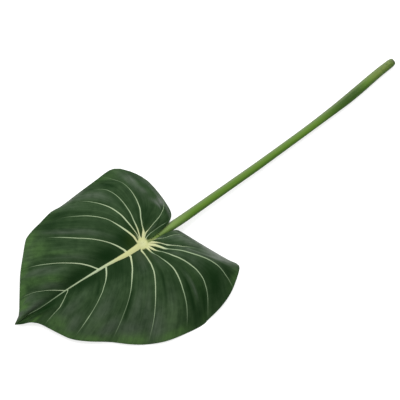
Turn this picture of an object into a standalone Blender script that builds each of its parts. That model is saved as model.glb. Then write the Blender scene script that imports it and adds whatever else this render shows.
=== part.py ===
"""A cut philodendron leaf lying face up: a heart-shaped blade, and the stem that its stub plugs into.

Metres, +Z up. +X runs along the stem, away from the leaf's point, and +Y to the lobe on the stem's left.
The origin is on the table, in the middle of the leaf's outline. Sizes below are in millimetres from the hub,
where the stem meets the blade, and are turned into metres as each mesh is made.
"""

import math
from dataclasses import dataclass

import bpy
import numpy as np

MM = 0.001

# Where the hub stands from the origin
HUB_FROM_ORIGIN = (-122.5, 13.5, 0.0)

# Blade
SHEET = 0.9
HUB = (-7, 4, 33)
NOTCH = (3, 2, 32)
MIDRIB = (
    (-255, 21, 3), (-233, 22, 9), (-205, 18.5, 15), (-154, 17, 22),
    (-126, 16, 26), (-84, 12.5, 29.5), (-36, 6, 31.5), HUB,
)
# The share of a vein's length at which it passes its near, inner and outer points
NEAR, INNER, OUTER = 0.18, 0.42, 0.72
ROWS = (0, 0.03, 0.1, NEAR, 0.26, 0.34, INNER, 0.5, 0.58, 0.65, OUTER, 0.79, 0.85, 0.9, 0.95, 1)
VEIN_STEP = 0.07
PANEL_STEPS = (0, VEIN_STEP, 0.3, 0.5, 0.7, 1 - VEIN_STEP)
STATION_GAP = 11.0
ROOT_STEP = 4.0

# Relief
PLEAT_SHARE = 0.065
PLEAT_LEAN = 0.35
PLEAT_START = 0.08
PLEAT_AT_MARGIN = 0.45
# Where the margin's roll starts, along a vein, and how many vein numbers it takes to reach its full depth
ROLL_START, ROLL_EASE = 0.8, 0.5
VEIN_RIDGE = 1.2
# Where a vein's ridge has reached its full height, where it starts to fade and where it is gone
RIDGE_FULL, RIDGE_FADES, RIDGE_GONE = 0.05, 0.5, 0.95
MIDRIB_RIDGE, MIDRIB_KEEL = 2.2, 2.8
MIDRIB_AT_TIP, MIDRIB_AT_HUB = 1.0, 3.2
HUB_BOSS, HUB_KEEL, HUB_RADIUS = 2.4, 2.4, 9.0

# Stub under the hub, and the peg on it that enters the stem
STUB = (
    (-6, 3.6, 30.5, 5.6), (0, 2.6, 27.2, 5.3), (8, 1.2, 23.6, 5.2),
    (15, 0.5, 21.8, 5.3), (21.7, 0.2, 21, 5.5),
)
STUB_RINGS = 8
PEG_RADIUS, PEG_LENGTH, PEG_CHAMFER = 2.7, 13.0, 0.6

# Stem
CLEARANCE = 0.3
STEM_PATH = (
    (22, 0.2, 21, 6.6), (40, 0, 20.1, 7.0), (73, -1, 18.6, 7.0), (122, -2, 16.4, 6.8),
    (171, -3, 14.3, 6.6), (220, -4, 12.3, 6.45), (269, -4.5, 10.5, 6.4), (318, -5, 9, 6.7),
    (350, -4.6, 8.1, 7.1), (383, -3.8, 7.5, 7.6), (405, -2.6, 7.4, 7.8), (432, -0.8, 7.4, 7.7),
    (448, 0.6, 7.4, 7.5), (470, 2.2, 7.4, 7.0), (490, 3, 7.3, 6.6),
)
STEM_STEP = 16.0
STEM_END = 500.5
STEM_SIDES = 16
BORE_DEPTH = PEG_LENGTH + 1.0
MOUTH_BEVEL, MOUTH_BEVEL_DEPTH = 1.0, 0.6
END_TURNS = (30, 55, 75)
END_FULLNESS = 0.6

LEAF_GREEN = (0.045, 0.095, 0.035, 1)
STEM_GREEN = (0.12, 0.22, 0.04, 1)


@dataclass(frozen=True)
class Vein:
    """One side vein: where it leaves the midrib, as x, or None for the hub, and the points that it passes."""

    root: float | None
    near: tuple
    inner: tuple
    outer: tuple


@dataclass(frozen=True)
class Half:
    """One half of the blade. Its veins are numbered from 1 at the tip, and the last is the notch's edge."""

    side: int
    veins: tuple
    margin: tuple
    curl: tuple
    folds: tuple


# A margin point is its vein number, with parts of one between veins, then x, y and z.
# A curl is a first and a last vein number, and how far the margin between them is rolled down.
# A fold is a vein number, how wide and how deep it is, and the share of the vein's length where it starts.
LEFT = Half(
    side=1,
    veins=(
        Vein(-154, (-164, 25, 25), (-180, 37, 27), (-202, 47, 21)),
        Vein(-89, (-101.5, 30, 33), (-124, 52, 35), (-157.5, 72, 27)),
        Vein(-36, (-49, 34.5, 36), (-75, 64.5, 37), (-116, 94, 28)),
        Vein(None, (-14.5, 32, 37), (-31.5, 71.5, 38), (-74.5, 107, 27)),
        Vein(None, (-7, 31, 37), (-10.5, 68.5, 38), (-35.5, 108.5, 27)),
        Vein(None, (-1.5, 28, 36.5), (5.5, 62.5, 38), (-1.5, 107, 28)),
        Vein(None, (6, 25, 36), (23.5, 57, 38), (25, 101, 30)),
        Vein(None, (11, 17.5, 35), (42, 25, 36), (55.5, 60, 33)),
        Vein(None, (9, 12, 34), (24, 12, 34), (45, 13, 32)),
        Vein(None, NOTCH, (14, 2.2, 31), (28, 2.8, 30.5)),
    ),
    margin=(
        (0.3, -245, 26, 6), (0.65, -236, 34, 9), (1, -225, 48, 12), (1.5, -208, 70, 11), (2, -196, 85, 9),
        (2.6, -174, 107, 7), (2.85, -163, 118, 6), (3.05, -155, 124, 5), (3.5, -138, 128.5, 4),
        (4, -124, 130.5, 3), (4.5, -99, 134.5, 1.5), (5, -80, 132.5, 0.2), (6, -38, 133, 2.6),
        (7, -6, 133, 4), (7.25, 18, 133, 7),
        (7.4, 30, 129, 8), (7.6, 38, 121, 10), (8, 50, 103, 13), (8.35, 59, 80, 17), (8.7, 62, 48, 21),
        (9, 61.5, 24, 24), (9.3, 58, 14, 26), (9.65, 50, 7.5, 28), (10, 42, 5, 29.5),
    ),
    curl=(7.1, 9.4, 6.0),
    folds=((6.45, 0.35, 3.0, 0.6),),
)
RIGHT = Half(
    side=-1,
    veins=(
        Vein(-150, (-158.5, 8, 23), (-174, 3, 22), (-196, -0.5, 16)),
        Vein(-81, (-92.5, -8.5, 31), (-117.5, -24, 32), (-154, -40.5, 24)),
        Vein(-36, (-49.5, -23, 35), (-70.5, -47.5, 35), (-107.5, -73, 25)),
        Vein(None, (-15, -24, 37), (-28.5, -58.5, 37), (-60.5, -99, 27)),
        Vein(None, (0, -26, 37), (8, -63, 38), (-6, -112.5, 27)),
        Vein(None, (8.5, -25, 37), (30, -59.5, 38), (34, -113, 27)),
        Vein(None, (14, -20, 36.5), (42.5, -48, 38), (69, -95, 31)),
        Vein(None, (16.5, -12.5, 35.5), (41, -37.5, 36.5), (69, -77, 33)),
        Vein(None, (8, 0.5, 34), (24, -7, 34), (46.5, -17, 32)),
        Vein(None, NOTCH, (15, -1.5, 31), (30, -3.5, 30.5)),
    ),
    margin=(
        (0.25, -244, 15, 7), (0.5, -232, 10, 10), (0.75, -225, 4, 11), (1, -219, -4, 9), (1.4, -205, -31, 7),
        (2, -192, -53, 8), (2.5, -172, -72, 7), (3, -145, -93, 4), (3.5, -120, -116, 3),
        (4, -99, -132, 2.5), (4.5, -70, -147, 3), (5, -36, -156, 3), (5.5, -8, -161.5, 3.6),
        (6, 5, -159, 3.6), (6.5, 35, -154.5, 6.5),
        (7, 61, -146, 9), (7.5, 84, -131, 13), (7.85, 97, -121, 17), (8, 98, -115, 19), (8.2, 90, -101, 21),
        (8.5, 78, -74, 23), (9, 63, -38, 25), (9.4, 55, -18, 26), (9.75, 51, -11, 28), (10, 46, -8, 29),
    ),
    curl=(7.9, 9.6, 8.0),
    folds=((5.5, 0.42, 4.5, 0.3),),
)


def smooth_line(marks, points):
    """A smooth curve that passes each point at its mark, as a function of an array of marks."""
    marks = np.asarray(marks, float)
    points = np.asarray(points, float)
    gaps = np.diff(marks)
    slopes = np.diff(points, axis=0) / gaps[:, None]
    tangents = np.vstack([slopes[:1], np.zeros((len(marks) - 2, points.shape[1])), slopes[-1:]])
    for i in range(1, len(marks) - 1):
        tangents[i] = (slopes[i - 1] * gaps[i] + slopes[i] * gaps[i - 1]) / (gaps[i - 1] + gaps[i])

    def at(where):
        where = np.atleast_1d(np.asarray(where, float))
        i = np.clip(np.searchsorted(marks, where, side="right") - 1, 0, len(gaps) - 1)
        gap = gaps[i][:, None]
        s = (where - marks[i])[:, None] / gap
        start = (1 + 2 * s) * (1 - s) ** 2 * points[i] + s * (1 - s) ** 2 * gap * tangents[i]
        end = s * s * (3 - 2 * s) * points[i + 1] + s * s * (s - 1) * gap * tangents[i + 1]
        return start + end

    return at


def smooth_step(value):
    value = np.clip(value, 0.0, 1.0)
    return value * value * (3 - 2 * value)


def root_marks(half):
    """The x of each vein root along the midrib, from the tip to the hub, and the vein number there."""
    roots = [vein.root for vein in half.veins if vein.root is not None]
    xs = [MIDRIB[0][0], *roots, HUB[0]]
    return xs, list(range(len(xs)))


def rib_stations():
    """The x of each column that crosses the midrib: the vein roots of both halves, and steps between."""
    marks = {MIDRIB[0][0], HUB[0]}
    for half in (LEFT, RIGHT):
        for vein in half.veins:
            if vein.root is not None:
                marks |= {vein.root - ROOT_STEP, vein.root, vein.root + ROOT_STEP}
    marks = sorted(marks)
    stations = []
    for start, end in zip(marks, marks[1:]):
        steps = max(1, round((end - start) / STATION_GAP))
        stations += [start + (end - start) * k / steps for k in range(steps)]
    return np.array([*stations, marks[-1]])


def columns_of(half, stations):
    """The vein number of each column of a half, from the tip, round its margin, to the notch."""
    xs, numbers = root_marks(half)
    along_rib = np.interp(stations, xs, numbers)
    last_root = numbers[-1]
    fan = [k + step for k in range(last_root, len(half.veins)) for step in PANEL_STEPS]
    return np.array([*along_rib, *fan[1:], len(half.veins)])


def fold_depth(half, u, v):
    """How far the named folds of a half take the sheet down."""
    depth = np.zeros(np.broadcast(u, v).shape)
    for centre, width, deep, start in half.folds:
        depth += deep * np.exp(-(((u - centre) / width) ** 2)) * smooth_step((v - start) / (1 - start))
    first, last, roll = half.curl
    inside = smooth_step((u - first) / ROLL_EASE) * smooth_step((last - u) / ROLL_EASE)
    return depth + roll * inside * smooth_step((v - ROLL_START) / (1 - ROLL_START)) ** 1.5


def half_net(half, u, rib_x):
    """The middle of the sheet as a grid of points: a row for each of ROWS, a column for each vein number."""
    numbers = np.arange(len(half.veins) + 1)
    tip = MIDRIB[0]
    guides = [
        smooth_line(numbers, [tip, *(getattr(vein, name) for vein in half.veins)])(u)
        for name in ("near", "inner", "outer")
    ]
    margin = np.array([(0, *tip), *half.margin], float)
    rim = smooth_line(margin[:, 0], margin[:, 1:])(u)
    rib = np.array(MIDRIB, float)
    root = smooth_line(rib[:, 0], rib)(rib_x)
    across = np.stack([root, *guides, rim])
    grid = smooth_line((0, NEAR, INNER, OUTER, 1), across.reshape(5, -1))(ROWS).reshape(len(ROWS), len(u), 3)

    v = np.array(ROWS)[:, None]
    spacing = np.linalg.norm(np.gradient(grid, axis=1), axis=2) / np.gradient(u)[None, :]
    part = u - np.floor(u)
    bulge = np.sin(np.pi * part) * (1 + PLEAT_LEAN * np.cos(np.pi * part))
    swell = smooth_step((v - PLEAT_START) / (INNER - PLEAT_START))
    swell = swell * (1 - (1 - PLEAT_AT_MARGIN) * smooth_step((v - OUTER) / (1 - OUTER)))
    pleat = PLEAT_SHARE * spacing * bulge[None, :] * swell
    grid[:, :, 2] += pleat - fold_depth(half, u[None, :], v)
    return grid


def relief(half, u, x, y):
    """How far the veins, the midrib and the hub stand out of the sheet, above and below it."""
    v = np.array(ROWS)[:, None]
    to_vein = np.abs(u - np.round(u))[None, :]
    fade = 1 - smooth_step((v - RIDGE_FADES) / (RIDGE_GONE - RIDGE_FADES))
    vein = np.clip(1 - to_vein / VEIN_STEP, 0, 1) * smooth_step(v / RIDGE_FULL) * fade
    # The tip and the notch's edge are numbered as veins are, but have no ridge.
    vein = vein * (np.round(u) > 0) * (np.round(u) < len(half.veins))
    along = np.clip((x - MIDRIB[0][0]) / (HUB[0] - MIDRIB[0][0]), 0, 1)
    spine = np.interp(x, [p[0] for p in MIDRIB], [p[1] for p in MIDRIB])
    width = MIDRIB_AT_TIP + (MIDRIB_AT_HUB - MIDRIB_AT_TIP) * along
    rib = np.exp(-(((y - spine) / width) ** 2)) * (x < HUB[0]) * along
    boss = np.exp(-(np.hypot(x - HUB[0], y - HUB[1]) / HUB_RADIUS) ** 2)
    above = np.maximum(VEIN_RIDGE * vein, np.maximum(MIDRIB_RIDGE * rib, HUB_BOSS * boss))
    below = np.maximum(VEIN_RIDGE * vein, np.maximum(MIDRIB_KEEL * rib, HUB_KEEL * boss))
    return above, below


def sheet_of_blade():
    """The blade's middle sheet: points, triangles, and the relief above and below at each point."""
    stations = rib_stations()
    points, above, below, triangles, index = [], [], [], [], {}
    for half in (LEFT, RIGHT):
        u = columns_of(half, stations)
        rib_x = np.concatenate([stations, np.full(len(u) - len(stations), HUB[0])])
        grid = half_net(half, u, rib_x)
        up, down = relief(half, u, grid[:, :, 0], grid[:, :, 1])
        numbers = np.empty(grid.shape[:2], int)
        for j in range(len(u)):
            for i, v in enumerate(ROWS):
                if j == 0:
                    key = "tip"
                elif i == 0:
                    key = ("rib", min(j, len(stations) - 1))
                elif j == len(u) - 1 and v <= NEAR:
                    key = ("seam", i)
                else:
                    key = (half.side, i, j)
                if key not in index:
                    index[key] = len(points)
                    points.append(grid[i, j])
                    above.append(up[i, j])
                    below.append(down[i, j])
                numbers[i, j] = index[key]
        for i in range(len(ROWS) - 1):
            for j in range(len(u) - 1):
                a, b, c, d = numbers[i, j], numbers[i, j + 1], numbers[i + 1, j + 1], numbers[i + 1, j]
                for face in ((a, b, c), (a, c, d)):
                    if len(set(face)) == 3:
                        triangles.append(face if half.side > 0 else face[::-1])
    return np.array(points), np.array(triangles), np.array(above), np.array(below)


def point_normals(points, triangles):
    corners = points[triangles]
    faces = np.cross(corners[:, 1] - corners[:, 0], corners[:, 2] - corners[:, 0])
    normals = np.zeros_like(points)
    for k in range(3):
        np.add.at(normals, triangles[:, k], faces)
    return normals / np.linalg.norm(normals, axis=1)[:, None]


def rim_edges(triangles):
    """The sheet's open edges, each in the direction of the triangle that it belongs to."""
    edges = np.concatenate([triangles[:, [0, 1]], triangles[:, [1, 2]], triangles[:, [2, 0]]])
    seen = {(a, b) for a, b in edges}
    return [(a, b) for a, b in seen if (b, a) not in seen]


def make_material(name, colour, roughness):
    material = bpy.data.materials.new(name)
    material.use_nodes = True
    shader = material.node_tree.nodes["Principled BSDF"]
    shader.inputs["Base Color"].default_value = colour
    shader.inputs["Roughness"].default_value = roughness
    shader.inputs["Metallic"].default_value = 0.0
    return material


def make_object(name, points, faces, material):
    """A mesh object of points in millimetres from the hub, placed in metres from the origin."""
    mesh = bpy.data.meshes.new(name)
    placed = (np.asarray(points, float) + HUB_FROM_ORIGIN) * MM
    mesh.from_pydata([tuple(p) for p in placed], [], [tuple(int(k) for k in face) for face in faces])
    mesh.materials.append(material)
    mesh.shade_smooth()
    mesh.set_sharp_from_angle(angle=math.radians(40))
    made = bpy.data.objects.new(name, mesh)
    bpy.context.scene.collection.objects.link(made)
    return made


def swept_rings(rings, sides):
    """Points and faces of a round body from a run of (centre, direction, radius), closed at both ends."""
    points, faces = [], []
    for centre, direction, radius in rings:
        forward = np.array(direction, float) / np.linalg.norm(direction)
        across = np.cross((0, 0, 1), forward)
        across /= np.linalg.norm(across)
        up = np.cross(forward, across)
        for k in range(sides):
            turn = 2 * math.pi * (k + 0.5) / sides - math.pi / 2
            points.append(np.array(centre) + radius * (math.cos(turn) * across + math.sin(turn) * up))
    for ring in range(len(rings) - 1):
        for k in range(sides):
            a, b = ring * sides + k, ring * sides + (k + 1) % sides
            faces += [(a, b, b + sides), (a, b + sides, a + sides)]
    for ring, turned in ((0, True), (len(rings) - 1, False)):
        middle = len(points)
        points.append(np.array(rings[ring][0], float))
        for k in range(sides):
            face = (middle, ring * sides + k, ring * sides + (k + 1) % sides)
            faces.append(face[::-1] if turned else face)
    return np.array(points), faces


def path_rings(path, marks, reach=0.5):
    """(centre, direction, radius) at each mark along a path of x, y, z and radius."""
    line = smooth_line([p[0] for p in path], path)
    here, ahead, behind = line(marks), line(np.add(marks, reach)), line(np.subtract(marks, reach))
    return [(h[:3], a[:3] - b[:3], h[3]) for h, a, b in zip(here, ahead, behind)]


def blade_material():
    return make_material("leaf_green", LEAF_GREEN, 0.45)


def make_blade():
    """The sheet with its relief, a thickness to either side of it, and the stub joined on under the hub."""
    points, triangles, above, below = sheet_of_blade()
    normals = point_normals(points, triangles)
    top = points + normals * (SHEET / 2 + above)[:, None]
    under = points - normals * (SHEET / 2 + below)[:, None]
    under[:, 2] = np.maximum(under[:, 2], 0)
    count = len(points)
    faces = [tuple(t) for t in triangles] + [tuple(t[::-1] + count) for t in triangles]
    for a, b in rim_edges(triangles):
        faces += [(b, a, a + count), (b, a + count, b + count)]
    blade = make_object("blade", np.vstack([top, under]), faces, blade_material())

    stub = make_stub()
    join = blade.modifiers.new("join stub", "BOOLEAN")
    join.operation = "UNION"
    join.solver = "MANIFOLD"
    join.object = stub
    return blade


def make_stub():
    """The round stub that leaves the hub's underside, bends into line with the stem and ends in the peg."""
    mouth, direction, _ = path_rings(STEM_PATH, [STEM_PATH[0][0]])[0]
    forward = direction / np.linalg.norm(direction)
    face = mouth - forward * CLEARANCE
    rings = path_rings(STUB, np.linspace(STUB[0][0], STUB[-1][0], STUB_RINGS))[:-1]
    rings.append((face, forward, STUB[-1][3]))
    rings.append((face, forward, PEG_RADIUS))
    rings.append((mouth + forward * (PEG_LENGTH - PEG_CHAMFER), forward, PEG_RADIUS))
    rings.append((mouth + forward * PEG_LENGTH, forward, PEG_RADIUS - PEG_CHAMFER))
    points, faces = swept_rings(rings, STEM_SIDES)
    stub = make_object("stub", points, faces, blade_material())
    stub.hide_render = True
    stub.display_type = "WIRE"
    return stub


def make_stem():
    """The stem: a socket for the peg at its leaf end, a rounded far end and a flat spot to lie on."""
    start, last = STEM_PATH[0][0], STEM_PATH[-1][0]
    body = path_rings(STEM_PATH, np.linspace(start, last, round((last - start) / STEM_STEP)))
    mouth, direction, radius = body[0]
    forward = direction / np.linalg.norm(direction)
    bore = PEG_RADIUS + CLEARANCE
    rings = [(mouth + forward * BORE_DEPTH, direction, bore), (mouth, direction, bore)]
    rings.append((mouth, direction, radius - MOUTH_BEVEL))
    rings.append((mouth + forward * MOUTH_BEVEL_DEPTH, direction, radius))
    rings += body[1:]
    end, direction, radius = body[-1]
    forward = direction / np.linalg.norm(direction)
    reach = STEM_END - end[0]
    for turn in END_TURNS:
        angle = math.radians(turn)
        here = end + forward * reach * math.sin(angle)
        rings.append((here, direction, radius * math.cos(angle) ** END_FULLNESS))
    points, faces = swept_rings(rings, STEM_SIDES)
    points[:, 2] = np.maximum(points[:, 2], 0)
    return make_object("stem", points, faces, make_material("stem_green", STEM_GREEN, 0.5))


def main():
    for old in list(bpy.data.objects):
        bpy.data.objects.remove(old)
    make_blade()
    make_stem()


main()
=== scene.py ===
"""Dresses a cut philodendron leaf: a pleated heart-shaped blade with pale veins, and its long green stem.

Sizes are in millimetres from the hub, where the stem meets the blade, and become metres as a mesh is made.
+X runs along the stem, away from the leaf's point, +Y to the lobe on the stem's left, and +Z up.
"""

import logging
import math
from dataclasses import dataclass, field
from enum import Enum

import bpy
import numpy as np
from mathutils import Matrix, Vector


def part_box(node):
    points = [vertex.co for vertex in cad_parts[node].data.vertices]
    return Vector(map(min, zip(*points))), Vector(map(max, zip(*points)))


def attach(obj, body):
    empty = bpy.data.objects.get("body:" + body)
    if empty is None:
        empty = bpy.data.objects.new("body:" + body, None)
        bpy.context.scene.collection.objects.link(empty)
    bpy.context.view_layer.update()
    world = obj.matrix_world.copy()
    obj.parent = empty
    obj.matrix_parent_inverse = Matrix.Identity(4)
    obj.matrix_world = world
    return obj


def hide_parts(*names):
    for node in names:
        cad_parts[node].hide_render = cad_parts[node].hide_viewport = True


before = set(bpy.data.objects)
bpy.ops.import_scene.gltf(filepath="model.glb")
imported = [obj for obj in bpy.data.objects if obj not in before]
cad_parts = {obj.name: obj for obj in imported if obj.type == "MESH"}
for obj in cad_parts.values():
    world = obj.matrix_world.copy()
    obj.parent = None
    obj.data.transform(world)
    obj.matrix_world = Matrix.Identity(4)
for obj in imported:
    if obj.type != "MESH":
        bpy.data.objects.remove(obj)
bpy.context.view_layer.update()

LOG = logging.getLogger("leaf")
MM = 0.001
HUB_FROM_ORIGIN = (-122.5, 13.5, 0.0)
HUB = (-7.0, 4.0, 33.0)
NOTCH = (3.0, 2.0, 32.0)

Point = tuple[float, float, float]
Colour = tuple[float, float, float, float]
Course = tuple[tuple[float, float], ...]


class Side(Enum):
    """The two halves of the blade, seen from the stem."""

    LEFT = 1
    RIGHT = -1


def smooth_step(value: np.ndarray) -> np.ndarray:
    """Eases from 0 to 1 as value goes from 0 to 1."""
    value = np.clip(value, 0.0, 1.0)
    return value * value * (3 - 2 * value)


class SmoothLine:
    """A smooth curve that passes each of its points at that point's mark."""

    def __init__(self, marks: "list[float] | np.ndarray", points: "list | np.ndarray") -> None:
        """Works out the curve's direction at each point.

        Args:
            marks: increasing numbers, one for each point.
            points: one row of coordinates for each mark.
        """
        self.marks = np.asarray(marks, float)
        self.points = np.asarray(points, float)
        self.gaps = np.diff(self.marks)
        slopes = np.diff(self.points, axis=0) / self.gaps[:, None]
        before, after = self.gaps[:-1, None], self.gaps[1:, None]
        inner = (slopes[:-1] * before + slopes[1:] * after) / (before + after)
        self.tangents = np.vstack([slopes[:1], inner, slopes[-1:]])

    def at(self, where: "float | np.ndarray") -> np.ndarray:
        """Reads the curve.

        Args:
            where: a mark or an array of marks, which may run a little past either end.

        Returns:
            One row of coordinates for each mark.
        """
        where = np.atleast_1d(np.asarray(where, float))
        i = np.clip(np.searchsorted(self.marks, where, side="right") - 1, 0, len(self.gaps) - 1)
        gap = self.gaps[i][:, None]
        s = (where - self.marks[i])[:, None] / gap
        start = (1 + 2 * s) * (1 - s) ** 2 * self.points[i] + s * (1 - s) ** 2 * gap * self.tangents[i]
        end = s * s * (3 - 2 * s) * self.points[i + 1] + s * s * (s - 1) * gap * self.tangents[i + 1]
        return start + end


class Number:
    """A number socket of a node tree, on which Python's arithmetic adds Math nodes."""

    def __init__(self, tree: "Tree", socket: bpy.types.NodeSocket) -> None:
        """Holds the socket and the tree that new nodes go to."""
        self.tree = tree
        self.socket = socket

    def __add__(self, other: "Number | float") -> "Number":
        """self + other."""
        return self.tree.math("ADD", self, other)

    def __radd__(self, other: float) -> "Number":
        """other + self."""
        return self.tree.math("ADD", other, self)

    def __sub__(self, other: "Number | float") -> "Number":
        """self - other."""
        return self.tree.math("SUBTRACT", self, other)

    def __rsub__(self, other: float) -> "Number":
        """other - self."""
        return self.tree.math("SUBTRACT", other, self)

    def __mul__(self, other: "Number | float") -> "Number":
        """self * other."""
        return self.tree.math("MULTIPLY", self, other)

    def __rmul__(self, other: float) -> "Number":
        """other * self."""
        return self.tree.math("MULTIPLY", other, self)

    def __truediv__(self, other: "Number | float") -> "Number":
        """self / other."""
        return self.tree.math("DIVIDE", self, other)

    def __pow__(self, other: "Number | float") -> "Number":
        """self to the power of other."""
        return self.tree.math("POWER", self, other)

    def step(self, start: "Number | float", end: "Number | float") -> "Number":
        """Eases from 0 to 1 as this number goes from start to end.

        Args:
            start: where the result is 0.
            end: where the result is 1.

        Returns:
            The eased number.
        """
        settings = {"interpolation_type": "SMOOTHSTEP"}
        inputs = {"Value": self, "From Min": start, "From Max": end}
        made = self.tree.node("ShaderNodeMapRange", settings, inputs)
        return Number(self.tree, made.outputs["Result"])


class Tree:
    """A node tree in the making, of a material or of Geometry Nodes."""

    def __init__(self, tree: bpy.types.NodeTree) -> None:
        """Starts on a tree, leaving no node in it."""
        self.tree = tree
        self.tree.nodes.clear()

    def node(self, kind: str, settings: "dict | None" = None, inputs: "dict | None" = None) -> bpy.types.Node:
        """Adds any node.

        Args:
            kind: the node's type.
            settings: properties that are set first.
            inputs: the values or links of its sockets, by name or by number.

        Returns:
            The node.
        """
        made = self.tree.nodes.new(kind)
        for name, value in (settings or {}).items():
            setattr(made, name, value)
        for key, value in (inputs or {}).items():
            if isinstance(value, Number):
                value = value.socket
            if isinstance(value, bpy.types.NodeSocket):
                self.tree.links.new(value, made.inputs[key])
            else:
                made.inputs[key].default_value = value
        return made

    def math(self, operation: str, *values: "Number | float") -> Number:
        """Adds a Math node.

        Args:
            operation: the node's operation.
            values: its inputs in order.

        Returns:
            The result.
        """
        made = self.node("ShaderNodeMath", {"operation": operation}, dict(enumerate(values)))
        return Number(self, made.outputs[0])

    def largest(self, *values: "Number | float") -> Number:
        """Adds the nodes for the largest of some numbers.

        Args:
            values: two or more numbers.

        Returns:
            The largest.
        """
        result = values[0]
        for value in values[1:]:
            result = self.math("MAXIMUM", result, value)
        return result

    def vector(self, x: "Number | float", y: "Number | float", z: "Number | float") -> bpy.types.NodeSocket:
        """A vector socket made of three numbers."""
        return self.node("ShaderNodeCombineXYZ", None, {"X": x, "Y": y, "Z": z}).outputs[0]

    def split(self, vector: bpy.types.NodeSocket) -> list[Number]:
        """The three numbers of a vector."""
        return [Number(self, part) for part in self.node("ShaderNodeSeparateXYZ", None, {0: vector}).outputs]


class Paint(Tree):
    """A material's node tree, with its Principled BSDF."""

    def __init__(self, name: str) -> None:
        """Starts a material.

        Args:
            name: the material's name.
        """
        self.material = bpy.data.materials.new(name)
        self.material.use_nodes = True
        super().__init__(self.material.node_tree)
        self.shader = self.node("ShaderNodeBsdfPrincipled")
        self.node("ShaderNodeOutputMaterial", None, {"Surface": self.shader.outputs[0]})

    def attribute(self, name: str) -> Number:
        """A number that the mesh carries at each of its points."""
        return Number(self, self.node("ShaderNodeAttribute", {"attribute_name": name}).outputs["Fac"])

    def mix(self, share: "Number | float", low: "Colour | bpy.types.NodeSocket",
            high: "Colour | bpy.types.NodeSocket", blend: str = "MIX") -> bpy.types.NodeSocket:
        """Mixes two colours.

        Args:
            share: 0 for the first colour, 1 for the second.
            low: the first colour.
            high: the second colour.
            blend: the way they are mixed.

        Returns:
            The mixed colour's socket.
        """
        settings = {"data_type": "RGBA", "blend_type": blend, "clamp_factor": True}
        return self.node("ShaderNodeMix", settings, {0: share, 6: low, 7: high}).outputs[2]

    def noise(self, place: bpy.types.NodeSocket, scale: float, detail: float = 2.0,
              roughness: float = 0.5) -> Number:
        """Soft noise from 0 to 1.

        Args:
            place: the vector that it is read at.
            scale: how many blotches lie in one unit.
            detail: how many finer layers are added.
            roughness: how strong each finer layer is.

        Returns:
            The noise.
        """
        inputs = {"Vector": place, "Scale": scale, "Detail": detail, "Roughness": roughness}
        return Number(self, self.node("ShaderNodeTexNoise", None, inputs).outputs[0])

    def place(self) -> bpy.types.NodeSocket:
        """The point on the object, in metres."""
        return self.node("ShaderNodeTexCoord").outputs["Object"]

    def bump(self, height: Number, depth: float) -> None:
        """Roughens the surface.

        Args:
            height: the relief, about 0 to 1.
            depth: what a height of 1 stands for, in metres.
        """
        made = self.node("ShaderNodeBump", None, {"Strength": 1.0, "Distance": depth, "Height": height})
        self.tree.links.new(made.outputs[0], self.shader.inputs["Normal"])

    def finish(self, colour: bpy.types.NodeSocket, roughness: "Number | float",
               **constants: float) -> bpy.types.Material:
        """Links what varies to the shader and sets the rest on it.

        Args:
            colour: the base colour's socket.
            roughness: a number or a link.
            constants: other sockets' values, with _ for a space in a name.

        Returns:
            The material.
        """
        self.tree.links.new(colour, self.shader.inputs["Base Color"])
        if isinstance(roughness, Number):
            self.tree.links.new(roughness.socket, self.shader.inputs["Roughness"])
        else:
            self.shader.inputs["Roughness"].default_value = roughness
        for name, value in constants.items():
            self.shader.inputs[name.replace("_", " ")].default_value = value
        return self.material


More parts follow.
